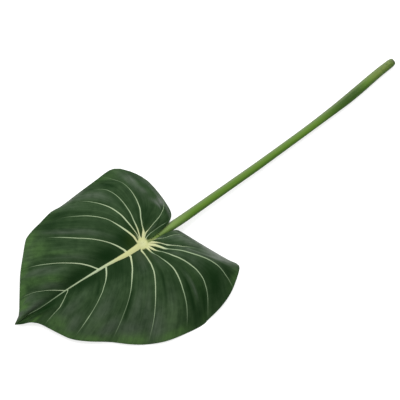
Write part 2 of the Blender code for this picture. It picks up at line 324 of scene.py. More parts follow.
class Growth(Tree):
    """A Geometry Nodes tree with named inputs, which is run on one object as a modifier that is then removed.
    """

    def __init__(self, name: str) -> None:
        """Starts a tree that takes one geometry and gives one.

        Args:
            name: the tree's name.
        """
        super().__init__(bpy.data.node_groups.new(name, "GeometryNodeTree"))
        for way in ("INPUT", "OUTPUT"):
            self.tree.interface.new_socket("Geometry", in_out=way, socket_type="NodeSocketGeometry")
        self.entry = self.node("NodeGroupInput")
        self.values: dict[str, object] = {}

    def entered(self, name: str, kind: str, value: object) -> bpy.types.NodeSocket:
        """Adds a named input.

        Args:
            name: the input's name.
            kind: its socket's type.
            value: what the modifier sets it to.

        Returns:
            The input, for use in the tree.
        """
        socket = self.tree.interface.new_socket(name, in_out="INPUT", socket_type=kind)
        self.values[socket.identifier] = value
        return self.entry.outputs[name]

    def size(self, name: str, value: float) -> Number:
        """A named number input."""
        return Number(self, self.entered(name, "NodeSocketFloat", float(value)))

    def count(self, name: str, value: int) -> Number:
        """A named whole-number input."""
        return Number(self, self.entered(name, "NodeSocketInt", value))

    def material(self, name: str, value: bpy.types.Material) -> bpy.types.NodeSocket:
        """A named material input."""
        return self.entered(name, "NodeSocketMaterial", value)

    def attribute(self, name: str) -> Number:
        """A number that the geometry carries at each of its points."""
        made = self.node("GeometryNodeInputNamedAttribute", {"data_type": "FLOAT"}, {"Name": name})
        return Number(self, made.outputs["Attribute"])

    def lifted(self, geometry: bpy.types.NodeSocket, way: bpy.types.NodeSocket,
               height: Number) -> bpy.types.NodeSocket:
        """Moves points along a direction, but none of them below the floor.

        Args:
            geometry: what is moved.
            way: the direction at each point.
            height: how far each point goes along it.

        Returns:
            The moved geometry.
        """
        offset = self.node("ShaderNodeVectorMath", {"operation": "SCALE"}, {0: way, "Scale": height})
        inputs = {"Geometry": geometry, "Offset": offset.outputs[0]}
        moved = self.node("GeometryNodeSetPosition", None, inputs)
        x, y, z = self.split(self.node("GeometryNodeInputPosition").outputs[0])
        place = self.vector(x, y, self.largest(z, self.size("Floor Height", 0.0)))
        inputs = {"Geometry": moved.outputs[0], "Position": place}
        return self.node("GeometryNodeSetPosition", None, inputs).outputs[0]

    def run(self, host: bpy.types.Object, result: bpy.types.NodeSocket) -> bpy.types.Object:
        """Ends the tree, runs it on the host and makes the result the host's plain mesh.

        Args:
            host: the mesh object that the tree starts from.
            result: the geometry that the tree ends with.

        Returns:
            The host, with no modifier left on it.
        """
        real = self.node("GeometryNodeRealizeInstances", None, {"Geometry": result})
        self.node("NodeGroupOutput", None, {"Geometry": real.outputs[0]})
        modifier = host.modifiers.new(self.tree.name, "NODES")
        modifier.node_group = self.tree
        for identifier, value in self.values.items():
            modifier[identifier] = value
        return plain_mesh(host)


def plain_mesh(host: bpy.types.Object) -> bpy.types.Object:
    """Makes what a host's modifiers give into its own mesh, and removes them.

    Args:
        host: an object with modifiers.

    Returns:
        The same object.
    """
    bpy.context.view_layer.update()
    graph = bpy.context.evaluated_depsgraph_get()
    live = host.evaluated_get(graph)
    made = bpy.data.meshes.new_from_object(live, preserve_all_data_layers=True, depsgraph=graph)
    host.modifiers.clear()
    old = host.data
    host.data = made
    bpy.data.meshes.remove(old)
    made.name = host.name
    return host


def new_object(name: str, points: np.ndarray, edges: list, faces: list) -> bpy.types.Object:
    """Makes a mesh object.

    Args:
        name: the object's name.
        points: millimetres from the hub.
        edges: pairs of point numbers, where the mesh has no faces.
        faces: rows of point numbers.

    Returns:
        The object, at the origin, with its place in its mesh.
    """
    mesh = bpy.data.meshes.new(name)
    placed = (np.asarray(points, float) + HUB_FROM_ORIGIN) * MM
    mesh.from_pydata(placed.tolist(), edges, faces)
    made = bpy.data.objects.new(name, mesh)
    bpy.context.scene.collection.objects.link(made)
    return made


def carry(mesh: bpy.types.Mesh, name: str, values: np.ndarray) -> None:
    """Stores numbers or vectors on a mesh's points.

    Args:
        mesh: the mesh.
        name: the attribute's name.
        values: one number or one vector for each point.
    """
    values = np.asarray(values, np.float32)
    if values.ndim == 1:
        mesh.attributes.new(name, "FLOAT", "POINT").data.foreach_set("value", values)
    else:
        mesh.attributes.new(name, "FLOAT_VECTOR", "POINT").data.foreach_set("vector", values.ravel())


def keep_inside(mesh: bpy.types.Mesh, corners: tuple[Vector, Vector]) -> None:
    """Draws in the few points that a smooth outline has past the solid's own, so that both have one size.

    Args:
        mesh: the mesh, in metres.
        corners: the solid's lowest and highest corners.
    """
    places = np.empty(len(mesh.vertices) * 3, np.float32)
    mesh.vertices.foreach_get("co", places)
    places = np.clip(places.reshape(-1, 3), np.array(corners[0]), np.array(corners[1]))
    mesh.vertices.foreach_set("co", places.ravel())
    mesh.update()


@dataclass(frozen=True)
class Vein:
    """One side vein: its course, and how it looks along its length.

    A share is a part of the vein's length, from 0 at its root to 1 at the margin. The vein strays from
    the even fan of its half by the parts of a panel that drift gives, as (share, panels). Its width is
    given as (share, half width in millimetres), and its greyness, from cream to the leaf's own green, as
    (share, 0 to 1).
    """

    root: "float | None"
    near: Point
    inner: Point
    outer: Point
    drift: Course
    width: Course
    grey: Course
    gone: float


@dataclass(frozen=True)
class Crease:
    """A narrow line between two veins: its (share, vein number) course, its width in panels and its depth.

    A furrow's depth is in millimetres, and it also sets how dark the furrow is painted, as painted shade.
    For a gleam, a painted highlight along a fold, it is the tone's strength.
    Ease is the part of the line's length over which each of its ends fades.
    """

    course: Course
    width: float
    depth: float
    ease: float = 0.3

    def mask(self, u: np.ndarray, v: np.ndarray) -> np.ndarray:
        """How far each point lies in the line: 1 on its course and 0 well away from it.

        Args:
            u: vein numbers.
            v: shares of a vein's length.

        Returns:
            Numbers from 0 to 1.
        """
        shares, numbers = zip(*self.course)
        ease = self.ease * (shares[-1] - shares[0])
        run = smooth_step((v - shares[0]) / ease) * smooth_step((shares[-1] - v) / ease)
        return run * np.exp(-(((u - np.interp(v, shares, numbers)) / self.width) ** 2))


@dataclass(frozen=True)
class Patch:
    """A soft patch of another tone: its vein number and share, its reach each way, and its strength.

    Lean is how many panels the patch moves across from a vein's root to the margin.
    """

    vein: float
    share: float
    across: float
    along: float
    strength: float = 1.0
    lean: float = 0.0


@dataclass(frozen=True)
class HalfBlade:
    """One half of the blade. Its veins are numbered from 1 at the tip, and the last is the notch's edge.

    The margin's rows are (vein number, x, y, z). The curl is the vein numbers between which the margin
    rolls down, and how far it goes. A fold's row is its vein number, its width in panels, how far it goes
    down and the share at which it starts. Gleams are painted highlights along folds, glows are bright green,
    the grey-green patches are painted grey sheen, shades are painted shade and sheens are painted silver
    sheen.
    """

    side: Side
    veins: tuple[Vein, ...]
    margin: tuple
    curl: Point
    folds: tuple
    creases: tuple[Crease, ...]
    gleams: tuple[Crease, ...]
    glows: tuple[Patch, ...]
    grey_sheens: tuple[Patch, ...]
    shades: tuple[Patch, ...]
    sheens: tuple[Patch, ...]


def creases(*rows: tuple) -> tuple[Crease, ...]:
    """Creases, or gleams, from rows of their numbers."""
    return tuple(Crease(*row) for row in rows)


def patches(*rows: tuple) -> tuple[Patch, ...]:
    """Patches from rows of their numbers."""
    return tuple(Patch(*row) for row in rows)


# Points and widths are in millimetres, and places on a half are (vein number, share of the vein's length)
LEFT = HalfBlade(
    side=Side.LEFT,
    veins=(
        Vein(
            -154, (-164, 25, 25), (-180, 37, 27), (-202, 47, 21), gone=1,
            drift=((0, 0), (0.25, 0), (0.5, -0.02), (0.75, -0.015), (0.9, 0.03)),
            width=((0, 1.3), (0.1, 1), (0.25, 0.85), (0.4, 0.55), (0.6, 0.5), (1, 0.4)),
            grey=((0, 0.1), (0.3, 0.35), (0.7, 0.65), (0.9, 0.85)),
        ),
        Vein(
            -89, (-101.5, 30, 33), (-124, 52, 35), (-157.5, 72, 27), gone=0.94,
            drift=((0, 0), (0.25, 0.01), (0.4, -0.02), (0.65, -0.01), (0.75, 0.01), (0.87, 0.05)),
            width=((0, 1.9), (0.05, 1.2), (0.3, 1.1), (0.42, 0.85), (0.55, 0.65), (0.8, 0.6)),
            grey=((0, 0), (0.3, 0.05), (0.6, 0.25), (0.8, 0.6)),
        ),
        Vein(
            -36, (-49, 34.5, 36), (-75, 64.5, 37), (-116, 94, 28), gone=0.84,
            drift=(
                (0, 0), (0.05, 0.06), (0.15, 0.03), (0.25, 0.02), (0.42, -0.005), (0.5, -0.01),
                (0.68, 0.05),
            ),
            width=(
                (0, 2.4), (0.05, 1.5), (0.13, 1.15), (0.2, 0.75), (0.28, 0.85), (0.4, 0.95), (0.6, 0.75),
                (0.8, 0.6),
            ),
            grey=((0, 0), (0.2, 0.1), (0.5, 0.25), (0.7, 0.5), (0.8, 0.8)),
        ),
        Vein(
            None, (-14.5, 32, 37), (-31.5, 71.5, 38), (-74.5, 107, 27), gone=0.86,
            drift=(
                (0, 0), (0.05, -0.13), (0.09, -0.075), (0.12, -0.035), (0.2, 0.01), (0.33, -0.005),
                (0.5, 0.035), (0.6, 0.05), (0.7, 0.03),
            ),
            width=(
                (0, 1.4), (0.1, 1.2), (0.15, 1.25), (0.22, 1.4), (0.3, 0.95), (0.38, 0.5), (0.5, 0.75),
                (0.62, 0.8), (0.75, 0.6),
            ),
            grey=((0, 0), (0.25, 0), (0.4, 0.25), (0.6, 0.4), (0.75, 0.8)),
        ),
        Vein(
            None, (-7, 31, 37), (-10.5, 68.5, 38), (-35.5, 108.5, 27), gone=0.92,
            drift=(
                (0, 0.4), (0.1, 0.35), (0.15, 0.34), (0.18, 0.31), (0.2, 0.27), (0.25, 0.19), (0.3, 0.1),
                (0.4, 0.075), (0.5, 0.085), (0.6, 0.035), (0.7, 0.005), (0.85, 0.06),
            ),
            width=((0, 0.9), (0.12, 0.6), (0.2, 0.8), (0.3, 1.15), (0.5, 1.05), (0.7, 0.6), (0.95, 0.4)),
            grey=((0, 0.1), (0.12, 0.25), (0.3, 0.05), (0.5, 0.1), (0.7, 0.5), (0.9, 0.95)),
        ),
        Vein(
            None, (-1.5, 28, 36.5), (5.5, 62.5, 38), (-1.5, 107, 28), gone=0.92,
            drift=(
                (0, 0), (0.1, 0.05), (0.13, 0.18), (0.16, 0.22), (0.2, 0.235), (0.25, 0.155), (0.3, 0.09),
                (0.5, 0.09), (0.6, 0.05), (0.7, 0),
            ),
            width=((0, 1.1), (0.12, 0.9), (0.22, 0.9), (0.35, 0.7), (0.5, 0.6), (0.65, 0.5), (0.85, 0.6)),
            grey=((0, 0), (0.2, 0.1), (0.3, 0.3), (0.5, 0.35), (0.7, 0.6), (0.85, 0.85)),
        ),
        Vein(
            None, (6, 25, 36), (23.5, 57, 38), (25, 101, 30), gone=1,
            drift=(
                (0, 0.4), (0.1, 0.48), (0.13, 0.5), (0.156, 0.41), (0.19, 0.24), (0.22, 0.11), (0.3, 0.005),
                (0.4, 0.045), (0.5, 0.055), (0.7, 0.015), (0.9, 0.1),
            ),
            width=(
                (0, 2.8), (0.13, 2.4), (0.16, 1.45), (0.2, 0.8), (0.3, 0.9), (0.4, 1), (0.55, 0.85),
                (0.75, 0.6), (0.95, 0.4),
            ),
            grey=(
                (0, 0), (0.15, 0), (0.2, 0.25), (0.3, 0.2), (0.4, 0.1), (0.6, 0.35), (0.75, 0.65),
                (0.95, 0.9),
            ),
        ),
        Vein(
            None, (11, 17.5, 35), (42, 25, 36), (55.5, 60, 33), gone=1.05,
            drift=(
                (0, -0.3), (0.14, 0.05), (0.17, 0.18), (0.2, 0.32), (0.25, 0.12), (0.3, 0), (0.37, -0.02),
                (0.42, 0.06), (0.5, 0.27), (0.6, 0.475), (0.7, 0.6), (0.8, 0.69), (0.9, 0.75), (1, 0.75),
            ),
            width=(
                (0, 2.2), (0.14, 1.2), (0.2, 0.65), (0.3, 0.5), (0.5, 0.75), (0.65, 0.65), (0.8, 0.7),
                (0.95, 0.5),
            ),
            grey=((0, 0), (0.2, 0.2), (0.3, 0.4), (0.5, 0.35), (0.7, 0.4), (0.85, 0.6), (0.95, 0.8)),
        ),
        Vein(
            None, (9, 12, 34), (24, 12, 34), (45, 13, 32), gone=0.86,
            drift=((0, 0.25), (0.2, 0.28), (0.35, 0.2), (0.5, 0.12), (0.6, 0.1), (1, 0.3)),
            width=((0, 1.1), (0.12, 0.9), (0.2, 0.7), (0.6, 0.6), (0.8, 0.5)),
            grey=((0, 0.3), (0.15, 0.5), (0.3, 0.62), (0.6, 0.8), (0.8, 0.95)),
        ),
        Vein(
            None, NOTCH, (14, 3, 31), (28, 3.4, 30.5), gone=0.1,
            drift=((0, 0),),
            width=((0, 0.5),),
            grey=((0, 1),),
        ),
    ),
    margin=(
        (0.3, -245, 26, 6), (0.65, -236, 34, 9), (1, -225, 48, 12), (1.5, -208, 70, 11), (2, -196, 85, 9),
        (2.6, -174, 107, 7), (2.85, -163, 118, 6), (3.05, -155, 124, 5), (3.5, -138, 128.5, 4),
        (4, -124, 130.5, 3), (4.5, -99, 134.5, 1.5), (5, -80, 132.5, 0.2), (6, -38, 133, 2.6),
        (7, -6, 133, 4), (7.25, 18, 133, 7), (7.4, 30, 129, 8), (7.6, 38, 121, 10), (8, 50.8, 103.2, 13),
        (8.35, 60.1, 80.2, 17), (8.7, 62.8, 48, 21), (9, 61.5, 24, 24), (9.3, 58, 14, 26),
        (9.65, 50, 7.5, 28), (10, 42, 5, 29.5),
    ),
    curl=(7.1, 9.4, 6),
    folds=((6.45, 0.35, 3, 0.6),),
    creases=creases(
        (((0.66, 6.25), (0.95, 6.7)), 0.1, 1), (((0.5, 3.44), (0.85, 3.25)), 0.05, 0.7),
        (((0.2, 7.14), (0.55, 7.42)), 0.05, 0.6), (((0.5, 4.3), (0.9, 4.2)), 0.05, 0.5),
        (((0.4, 1.85), (0.8, 1.7)), 0.06, 0.4), (((0.4, 2.2), (0.8, 2.3)), 0.05, 0.4),
    ),
    gleams=creases(
        (((0.55, 7.66), (0.75, 7.5), (1, 7.42)), 0.06, 0.28),
        (((0.52, 7.95), (0.62, 8.06), (0.75, 8.4), (0.87, 8.65), (1, 8.8)), 0.09, 0.5),
        (((0.3, 3.22), (0.9, 3.3)), 0.05, 0.1),
    ),
    glows=patches(
        (2.6, 0.88, 0.28, 0.12, 0.6, 0.3), (1.45, 0.82, 0.16, 0.26, 0.45, 0.5), (1.2, 0.95, 0.3, 0.1, 0.7),
        (0.55, 0.75, 0.12, 0.25, 0.8, 0.2), (0.75, 0.92, 0.3, 0.12, 0.8), (1.4, 0.45, 0.12, 0.2, 0.4, 0.3),
        (2.9, 0.97, 0.5, 0.06, 0.6), (2.4, 0.6, 0.1, 0.2, 0.3, 0.3), (4.2, 0.96, 0.4, 0.06, 0.2),
        (7, 0.95, 0.3, 0.07, 0.3), (0.15, 0.25, 0.14, 0.35, 0.5), (9.75, 0.4, 0.35, 0.25, 0.3),
        (2.1, 0.97, 0.4, 0.06, 0.7),
    ),
    grey_sheens=patches(
        (1.15, 0.4, 0.12, 0.2, 0.4), (1.75, 0.7, 0.15, 0.25, 0.6), (2.25, 0.45, 0.12, 0.2, 0.4),
        (3.3, 0.6, 0.1, 0.3, 0.7), (4.65, 0.82, 0.2, 0.15, 0.12), (5.5, 0.8, 0.25, 0.18, 0.7),
        (2.5, 0.95, 0.4, 0.08, 0.4), (0.5, 0.36, 0.2, 0.22, 0.8), (0.28, 0.68, 0.2, 0.3, 1, 0.2),
        (7.35, 0.75, 0.1, 0.16, 0.8), (5.5, 0.97, 0.6, 0.04, 0.6), (8, 0.57, 0.35, 0.035, 0.8),
        (8.6, 0.3, 0.3, 0.08, 0.45), (0.8, 0.7, 0.2, 0.25, 0.4), (8.45, 0.77, 0.1, 0.12, 1, 1.6),
        (8.7, 0.93, 0.12, 0.07, 1, 1.2), (8.4, 0.96, 0.4, 0.04, 0.3),
    ),
    shades=patches(
        (2.55, 0.1, 0.4, 0.13, 1), (3.5, 0.12, 0.42, 0.13, 1), (1.6, 0.14, 0.4, 0.14, 0.8),
        (3.7, 0.5, 0.2, 0.5, 0.5), (3.65, 0.87, 0.35, 0.13, 0.9), (4.75, 0.2, 0.5, 0.13, 0.8),
        (4.75, 0.6, 0.2, 0.3, 0.15), (5.8, 0.45, 0.2, 0.25, 0.6), (6.4, 0.8, 0.3, 0.13, 0.9),
        (6.8, 0.4, 0.15, 0.4, 0.65), (6.8, 0.87, 0.25, 0.1, 0.7), (7.15, 0.35, 0.06, 0.2, 0.7, 0.8),
        (7.75, 0.9, 0.25, 0.12, 0.7), (7.5, 0.25, 0.25, 0.14, 0.7), (4.25, 0.88, 0.25, 0.13, 0.8),
        (8.3, 0.42, 0.25, 0.15, 0.7), (9.2, 0.75, 0.3, 0.3, 0.8), (5.75, 0.2, 0.3, 0.08, 0.7),
        (2.8, 0.5, 0.12, 0.3, 0.4), (6, 0.93, 0.2, 0.08, 0.5), (9.5, 0.2, 0.3, 0.12, 0.6),
    ),
    sheens=patches(
        (5.4, 1, 0.6, 0.035, 0.45), (8, 0.575, 0.2, 0.03, 0.35), (0.2, 0.78, 0.16, 0.22, 0.24),
        (8.6, 1, 0.5, 0.04, 0.2), (9, 0.92, 0.3, 0.05, 0.3),
    ),
)
RIGHT = HalfBlade(
    side=Side.RIGHT,
    veins=(
        Vein(
            -150, (-158.5, 8, 23), (-174, 3, 22), (-196, -0.5, 16), gone=0.98,
            drift=(
                (0, 0.02), (0.06, 0.01), (0.15, -0.03), (0.25, -0.025), (0.42, 0.02), (0.5, 0.05),
                (0.6, 0.065),
            ),
            width=((0, 0.9), (0.1, 0.7), (0.25, 0.8), (0.4, 0.9), (0.55, 1.05), (0.68, 0.7), (0.8, 0.5)),
            grey=((0, 0.25), (0.1, 0.45), (0.25, 0.45), (0.5, 0.3), (0.6, 0.4), (0.75, 0.7)),
        ),
        Vein(
            -81, (-92.5, -8.5, 31), (-117.5, -24, 32), (-154, -40.5, 24), gone=0.98,
            drift=(
                (0, 0), (0.02, 0.1), (0.08, 0.07), (0.15, 0.03), (0.25, 0.02), (0.35, 0.05), (0.5, 0.055),
                (0.75, 0.03),
            ),
            width=(
                (0, 1.5), (0.12, 1.05), (0.2, 0.7), (0.35, 0.7), (0.5, 0.5), (0.6, 0.5), (0.7, 0.9),
                (0.85, 0.55),
            ),
            grey=((0, 0.1), (0.12, 0.15), (0.2, 0.45), (0.5, 0.5), (0.6, 0.6), (0.7, 0.5), (0.85, 0.7)),
        ),
        Vein(
            -36, (-49.5, -23, 35), (-70.5, -47.5, 35), (-107.5, -73, 25), gone=0.97,
            drift=((0, 0), (0.04, 0.12), (0.12, 0.08), (0.2, 0.03), (0.3, 0.01), (0.6, 0.03)),
            width=((0, 1.8), (0.12, 1.1), (0.2, 1.15), (0.3, 0.8), (0.45, 0.5), (0.6, 0.6), (0.85, 0.6)),
            grey=((0, 0), (0.2, 0.1), (0.33, 0.35), (0.5, 0.8), (0.7, 0.9), (0.85, 0.75)),
        ),
        Vein(
            None, (-15, -24, 37), (-28.5, -58.5, 37), (-60.5, -99, 27), gone=1,
            drift=(
                (0, 0), (0.05, -0.22), (0.1, -0.13), (0.15, -0.05), (0.22, 0.06), (0.3, 0.075), (0.4, 0.03),
                (0.5, 0.015), (0.85, 0.03),
            ),
            width=(
                (0, 2), (0.06, 1.3), (0.12, 0.75), (0.18, 0.95), (0.25, 1), (0.5, 0.9), (0.65, 0.6),
                (0.9, 0.55),
            ),
            grey=((0, 0), (0.12, 0.3), (0.18, 0.22), (0.3, 0.1), (0.5, 0.15), (0.7, 0.45), (0.9, 0.75)),
        ),
        Vein(
            None, (0, -26, 37), (8, -63, 38), (-6, -112.5, 27), gone=0.97,
            drift=(
                (0, -0.25), (0.12, -0.2), (0.18, 0.1), (0.25, 0.11), (0.4, 0.06), (0.5, 0.035), (0.6, 0.01),
            ),
            width=(
                (0, 2.4), (0.07, 1.7), (0.12, 0.8), (0.16, 0.4), (0.22, 0.55), (0.3, 0.8), (0.45, 1),
                (0.6, 0.8), (0.85, 0.7),
            ),
            grey=(
                (0, 0), (0.09, 0), (0.15, 0.8), (0.2, 0.7), (0.3, 0.35), (0.42, 0.1), (0.6, 0.5),
                (0.75, 0.75),
            ),
        ),
        Vein(
            None, (8.5, -25, 37), (30, -59.5, 38), (34, -113, 27), gone=1.02,
            drift=(
                (0, -0.2), (0.12, -0.15), (0.18, 0.2), (0.2, 0.255), (0.25, 0.215), (0.3, 0.11),
                (0.38, 0.075), (0.47, 0.12), (0.55, 0.13), (0.65, 0.08), (0.72, 0.01), (0.8, -0.01),
            ),
            width=(
                (0, 2.3), (0.1, 1.6), (0.13, 0.95), (0.17, 0.45), (0.22, 0.55), (0.3, 0.9), (0.5, 0.85),
                (0.7, 0.75), (0.9, 0.6),
            ),
            grey=(
                (0, 0), (0.12, 0), (0.17, 0.7), (0.22, 0.4), (0.3, 0.15), (0.5, 0.3), (0.7, 0.5),
                (0.9, 0.8),
            ),
        ),
        Vein(
            None, (14, -20, 36.5), (42.5, -48, 38), (69, -95, 31), gone=1.05,
            drift=(
                (0, 0.4), (0.12, 0.38), (0.17, 0.15), (0.21, -0.03), (0.3, -0.04), (0.5, -0.02),
                (0.7, 0.02), (0.8, 0.1), (0.9, 0.17),
            ),
            width=(
                (0, 2), (0.12, 1.9), (0.2, 1.7), (0.24, 0.6), (0.3, 0.6), (0.4, 0.85), (0.7, 0.8),
                (0.9, 0.6),
            ),
            grey=((0, 0), (0.2, 0), (0.25, 0.6), (0.35, 0.45), (0.5, 0.35), (0.7, 0.5), (0.9, 0.65)),
        ),
        Vein(
            None, (16.5, -12.5, 35.5), (41, -37.5, 36.5), (69, -77, 33), gone=0.74,
            drift=(
                (0, 0.4), (0.13, 0.42), (0.18, 0.21), (0.24, -0.2), (0.33, -0.1), (0.37, 0), (0.43, 0.1),
                (0.52, 0.25), (0.65, 0.35), (1, 0.35),
            ),
            width=(
                (0, 3.4), (0.12, 3.8), (0.16, 3), (0.2, 2.3), (0.25, 1.5), (0.32, 1.1), (0.5, 0.9),
                (0.7, 0.6),
            ),
            grey=((0, 0), (0.22, 0), (0.33, 0.1), (0.5, 0.3), (0.6, 0.6), (0.75, 0.8)),
        ),
        Vein(
            None, (8, 0.5, 34), (24, -7, 34), (46.5, -17, 32), gone=0.92,
            drift=((0, -0.07), (0.45, -0.07), (0.6, -0.03), (0.8, 0.01), (1, 0.1)),
            width=((0, 2.6), (0.15, 2.2), (0.22, 1.6), (0.28, 0.9), (0.4, 0.6), (0.8, 0.65)),
            grey=((0, 0), (0.2, 0.1), (0.3, 0.4), (0.4, 0.55), (0.6, 0.55), (0.8, 0.8)),
        ),
        Vein(
            None, NOTCH, (15, -2.4, 31), (30, -4.2, 30.5), gone=0.1,
            drift=((0, 0),),
            width=((0, 0.5),),
            grey=((0, 1),),
        ),
    ),
    margin=(
        (0.25, -244.5, 14.6, 7), (0.5, -233, 9.4, 10), (0.75, -225.7, 3.6, 11), (1, -219.5, -4.2, 9),
        (1.4, -206, -31.4, 7), (2, -193.1, -53.6, 8), (2.5, -172.9, -73, 7), (3, -146, -94.2, 4),
        (3.5, -121, -117.2, 3), (4, -99.6, -133.1, 2.5), (4.5, -70.3, -147.7, 3), (5, -36.2, -156.8, 3),
        (5.5, -8, -161.6, 3.6), (6, 5, -159.8, 3.6), (6.5, 35.1, -154.9, 6.5), (7, 61, -146, 9),
        (7.5, 84.4, -131.5, 13), (7.85, 97, -121, 17), (8, 98, -115, 19), (8.2, 90, -101, 21),
        (8.5, 78, -74, 23), (9, 63, -38, 25), (9.4, 55, -18, 26), (9.75, 51, -11, 28), (10, 46, -8, 29),
    ),
    curl=(7.9, 9.6, 8),
    folds=((5.5, 0.42, 4.5, 0.3),),
    creases=creases(
        (((0.2, 4.36), (0.7, 4.34)), 0.05, 1), (((0.05, 1.8), (0.25, 1.85), (0.45, 1.98)), 0.045, 0.9),
        (((0.15, 1.03), (0.4, 1.1), (0.65, 1.24)), 0.035, 0.6), (((0.3, 3.06), (0.85, 3.14)), 0.05, 0.9),
        (((0.42, 5.26), (0.95, 5.22)), 0.08, 1.3), (((0.5, 3.55), (0.85, 3.6)), 0.05, 0.4),
        (((0.4, 2.5), (0.8, 2.65)), 0.05, 0.4), (((0.55, 6.5), (0.9, 6.4)), 0.06, 0.5),
    ),
    gleams=creases((((0.4, 5.47), (0.8, 5.47)), 0.05, 0.1)),
    glows=patches(
        (1.6, 0.97, 0.5, 0.06, 0.6), (2.5, 0.97, 0.5, 0.06, 0.7), (3.5, 0.96, 0.5, 0.07, 0.9),
        (4.6, 0.965, 0.45, 0.05, 0.7), (5.7, 0.95, 0.3, 0.06, 0.25), (7.4, 0.97, 0.4, 0.05, 0.4),
        (0.6, 0.8, 0.13, 0.25, 0.9), (0.22, 0.5, 0.16, 0.45, 0.4), (5.75, 0.7, 0.15, 0.2, 0.2),
        (1.35, 0.88, 0.3, 0.14, 0.5), (2.4, 0.8, 0.3, 0.12, 0.25), (4.5, 0.8, 0.3, 0.15, 0.3),
    ),
    grey_sheens=patches(
        (8.3, 0.85, 0.35, 0.25, 1, 0.6), (8.7, 0.97, 0.5, 0.1, 1), (7.3, 0.55, 0.3, 0.2, 0.9),
        (7.9, 0.85, 0.14, 0.15, 1, 0.6), (5.47, 0.6, 0.05, 0.13, 0.5), (3.4, 0.65, 0.2, 0.25, 0.45),
        (3.75, 0.7, 0.15, 0.25, 0.45), (2.35, 0.7, 0.25, 0.3, 0.55), (1.4, 0.65, 0.2, 0.3, 0.45),
        (4.55, 0.75, 0.2, 0.2, 0.5), (1.7, 0.82, 0.2, 0.15, 0.65), (2.75, 0.83, 0.25, 0.12, 0.9),
        (3.4, 0.87, 0.4, 0.12, 0.8), (4.2, 0.85, 0.3, 0.16, 0.9), (6.5, 0.3, 0.3, 0.12, 0.4),
        (9.2, 0.36, 0.35, 0.1, 0.8), (9.7, 0.46, 0.4, 0.12, 1), (9.2, 0.9, 0.4, 0.1, 0.5),
        (7.9, 0.5, 0.3, 0.2, 0.6), (8.5, 0.7, 0.2, 0.12, 0.6), (3.6, 0.12, 0.3, 0.14, 0.45),
        (4.7, 0.12, 0.3, 0.14, 0.5), (6.5, 0.5, 0.35, 0.1, 0.4), (8.85, 0.6, 0.3, 0.2, 0.4),
        (7.85, 0.3, 0.12, 0.1, 0.6),
    ),
    shades=patches(
        (0.62, 0.3, 0.3, 0.35, 0.9), (0.2, 0.75, 0.14, 0.4, 0.7), (1.5, 0.08, 0.5, 0.1, 0.8),
        (2.5, 0.1, 0.45, 0.1, 0.7), (3.4, 0.12, 0.35, 0.1, 0.3), (5.4, 0.9, 0.3, 0.12, 0.9),
        (5.23, 0.72, 0.12, 0.28, 1), (5.75, 0.8, 0.25, 0.25, 0.95), (6.5, 0.76, 0.5, 0.25, 1),
        (7.4, 0.87, 0.25, 0.1, 0.8), (8.12, 0.7, 0.08, 0.08, 0.6), (1.85, 0.25, 0.06, 0.2, 0.8, 0.4),
        (4.38, 0.45, 0.06, 0.25, 0.9), (3.1, 0.55, 0.06, 0.25, 0.8, 0.2), (1.12, 0.4, 0.05, 0.2, 0.7, 0.4),
        (4.5, 0.15, 0.4, 0.08, 0.35), (4.8, 0.5, 0.15, 0.15, 0.5), (8.6, 0.42, 0.25, 0.1, 0.5),
        (9.6, 0.65, 0.4, 0.15, 0.5), (5.5, 0.3, 0.35, 0.15, 0.5), (6.5, 0.16, 0.35, 0.1, 0.8),
        (7.35, 0.25, 0.2, 0.08, 0.6), (7, 0.95, 0.4, 0.08, 0.5), (9, 0.2, 0.4, 0.06, 0.6),
    ),
    sheens=patches(
        (8.4, 0.97, 0.4, 0.12, 0.75, 0.8), (8.05, 0.83, 0.18, 0.16, 0.65, 0.8),
        (8.75, 0.76, 0.25, 0.1, 0.3), (7.9, 0.54, 0.2, 0.1, 0.25), (9.3, 0.9, 0.5, 0.12, 0.2),
        (8.9, 1, 0.4, 0.08, 0.45),
    ),
)


